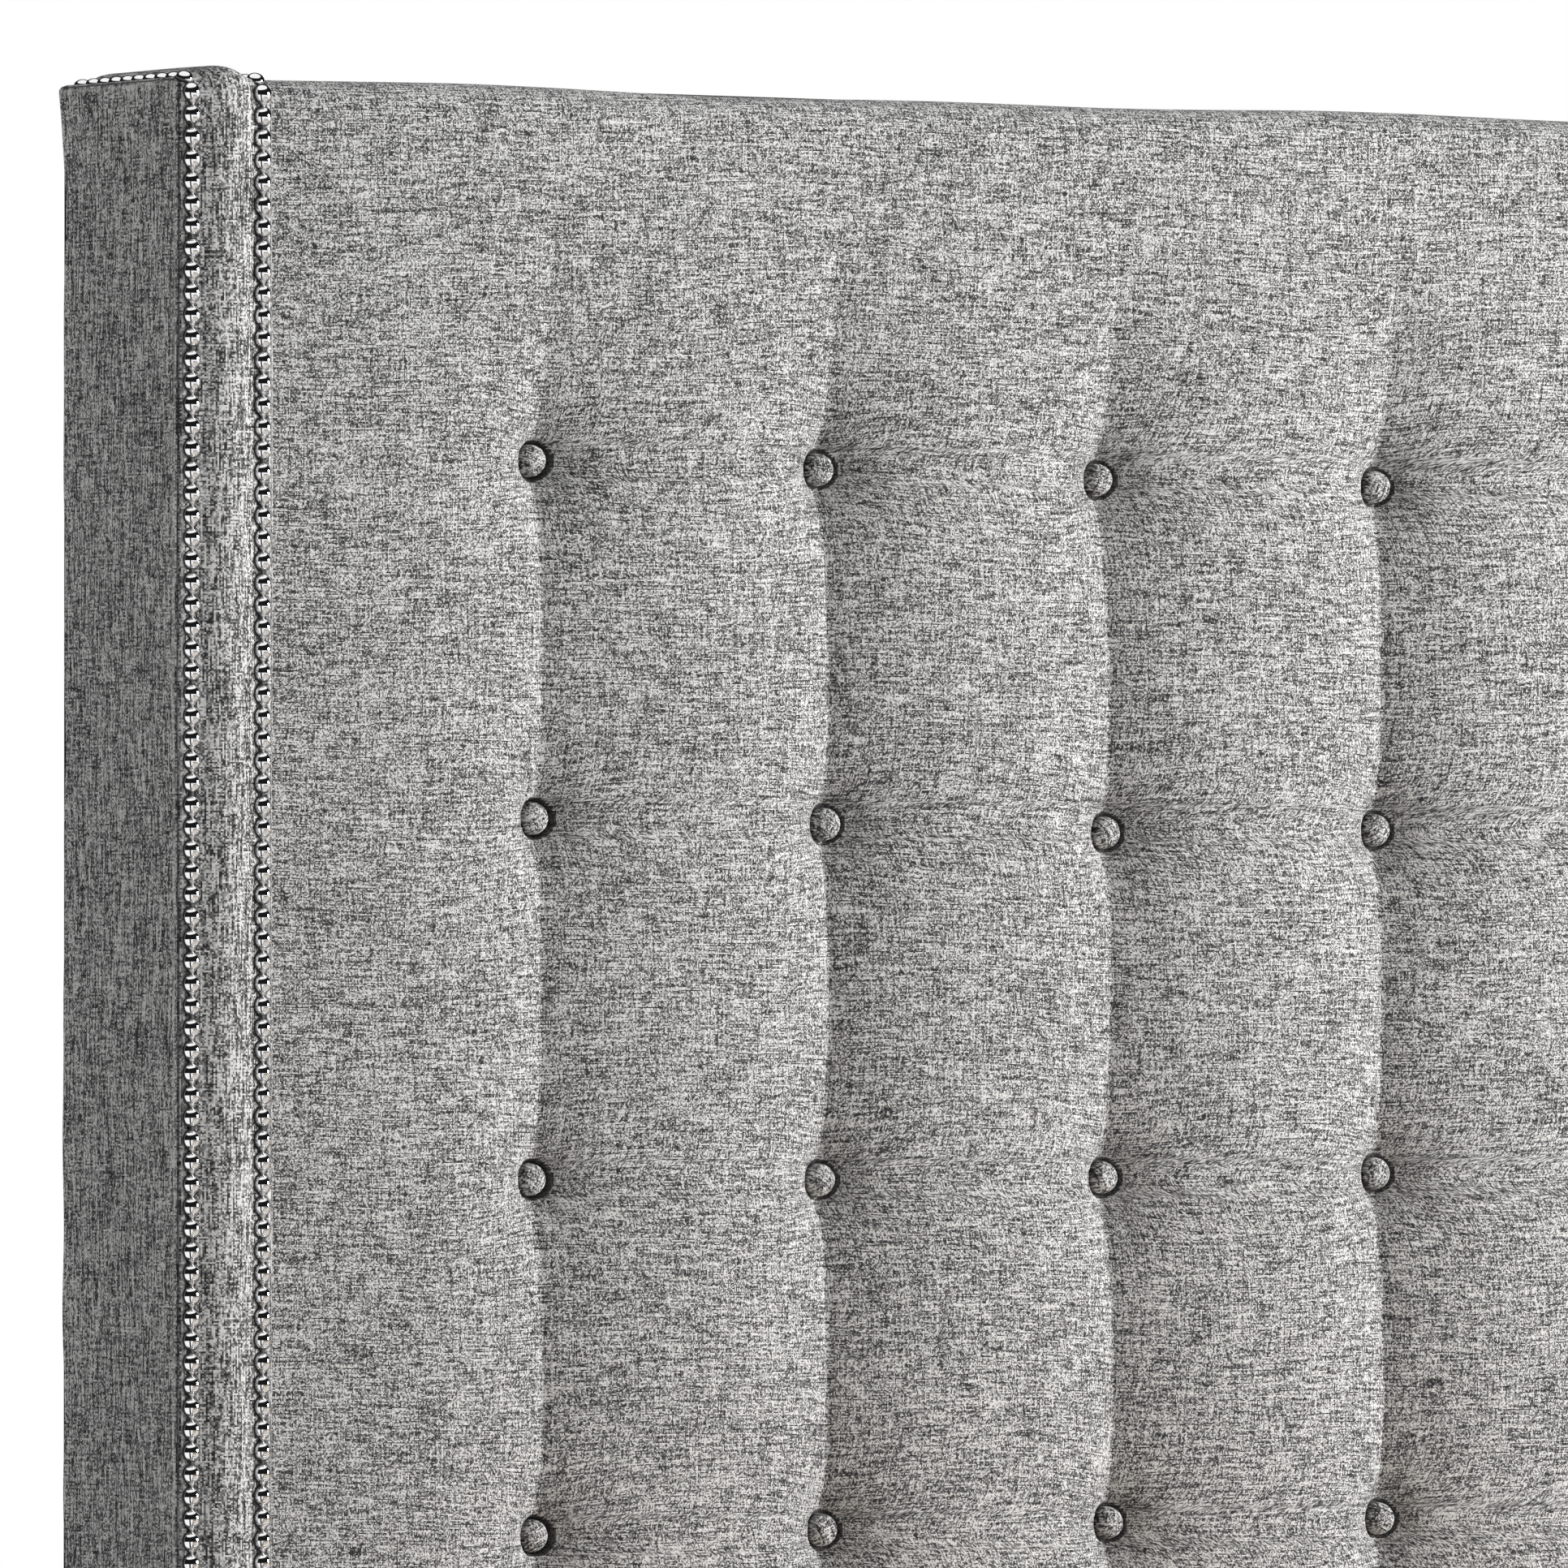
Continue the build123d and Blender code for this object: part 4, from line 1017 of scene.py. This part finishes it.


# Studio: pale floor, a soft key lamp well to the right, even light from a plain room, and a painted
# reflection of a darker room seen only in gloss
studio = {
    "floorSize": 20.0,
    "floorColour": (0.93, 0.93, 0.93),
    "fill": 0.36,
    "key": {"place": (6.2, -3.8, 2.1), "target": (0, 0.9, 0.9), "size": 2.7, "power": 680.0},
    "stand": (0.13, 0.16),  # painted reflection of a dark stand under the camera, seen only in gloss such as the chrome: its side and where it ends
    "standColour": (0.01, 0.01, 0.01),
    # painted reflection that gloss alone sees, from straight down (0) to straight up (1): pale floor, dark
    # walls, pale ceiling
    "room": ((0.44, (1.0, 1.0, 1.0)), (0.46, (0.01, 0.01, 0.01)),
             (0.85, (0.01, 0.01, 0.01)), (0.88, (1.0, 1.0, 1.0))),
}


def makeStudio():
    half = studio["floorSize"] / 2
    mesh = bpy.data.meshes.new("floor")
    corners = [(-half, -half, 0), (half, -half, 0), (half, half, 0), (-half, half, 0)]
    mesh.from_pydata(corners, [], [(0, 1, 2, 3)])
    floor = bpy.data.objects.new("floor", mesh)
    bpy.context.scene.collection.objects.link(floor)
    mesh.materials.append(Finish("floorPaper").done(Base_Color=studio["floorColour"], Roughness=0.9))
    floor.visible_glossy = False  # gloss sees the painted reflection's pale floor instead
    world = bpy.data.worlds.new("studioRoom")
    bpy.context.scene.world = world
    world.use_nodes = True
    world.node_tree.nodes.clear()
    room = Shader(world.node_tree)
    rays = room.node("ShaderNodeLightPath").socket.node
    camera, glossy, through = (Wire(room.tree, rays.outputs[name])
                               for name in ("Is Camera Ray", "Is Glossy Ray", "Is Transmission Ray"))
    x, y, height = room.split(room.node("ShaderNodeTexCoord", out="Generated"))
    a = math.radians(shot["azimuth"])  # of the camera, where the stand is
    across, toward = x * math.cos(a) + y * math.sin(a), x * math.sin(a) - y * math.cos(a)
    side, end = studio["stand"]
    # painted reflection, seen only in gloss: a dark stand below the horizon on the camera's side, in a room
    # of dark walls
    stand = room.ramp(abs(across), (side, (1, 1, 1)), (end, (0, 0, 0))) * (toward > 0.0) * (height < 0.0)
    mirrored = room.mix(stand, room.ramp(height * 0.5 + 0.5, *studio["room"]), studio["standColour"])
    walls = room.mix(glossy, (1, 1, 1), mirrored)
    seen = camera.join("MINIMUM", camera + glossy + through, 1.0)
    background = room.node("ShaderNodeBackground", {}, {
        "Color": walls, "Strength": seen * (1 - studio["fill"]) + studio["fill"]})
    room.node("ShaderNodeOutputWorld", {}, {"Surface": background})


def addLamp(name, spec):
    data = bpy.data.lights.new(name, "AREA")
    data.shape = "SQUARE"
    data.size = spec["size"]
    data.energy = spec["power"]
    lamp = bpy.data.objects.new(name, data)
    lamp.location = spec["place"]
    lamp.rotation_mode = "QUATERNION"
    lamp.rotation_quaternion = (Vector(spec["target"]) - Vector(spec["place"])).to_track_quat("-Z", "Y")
    bpy.context.scene.collection.objects.link(lamp)


makeStudio()
addLamp("keyLamp", studio["key"])
bpy.context.scene.view_settings.view_transform = "Standard"
print("studio")
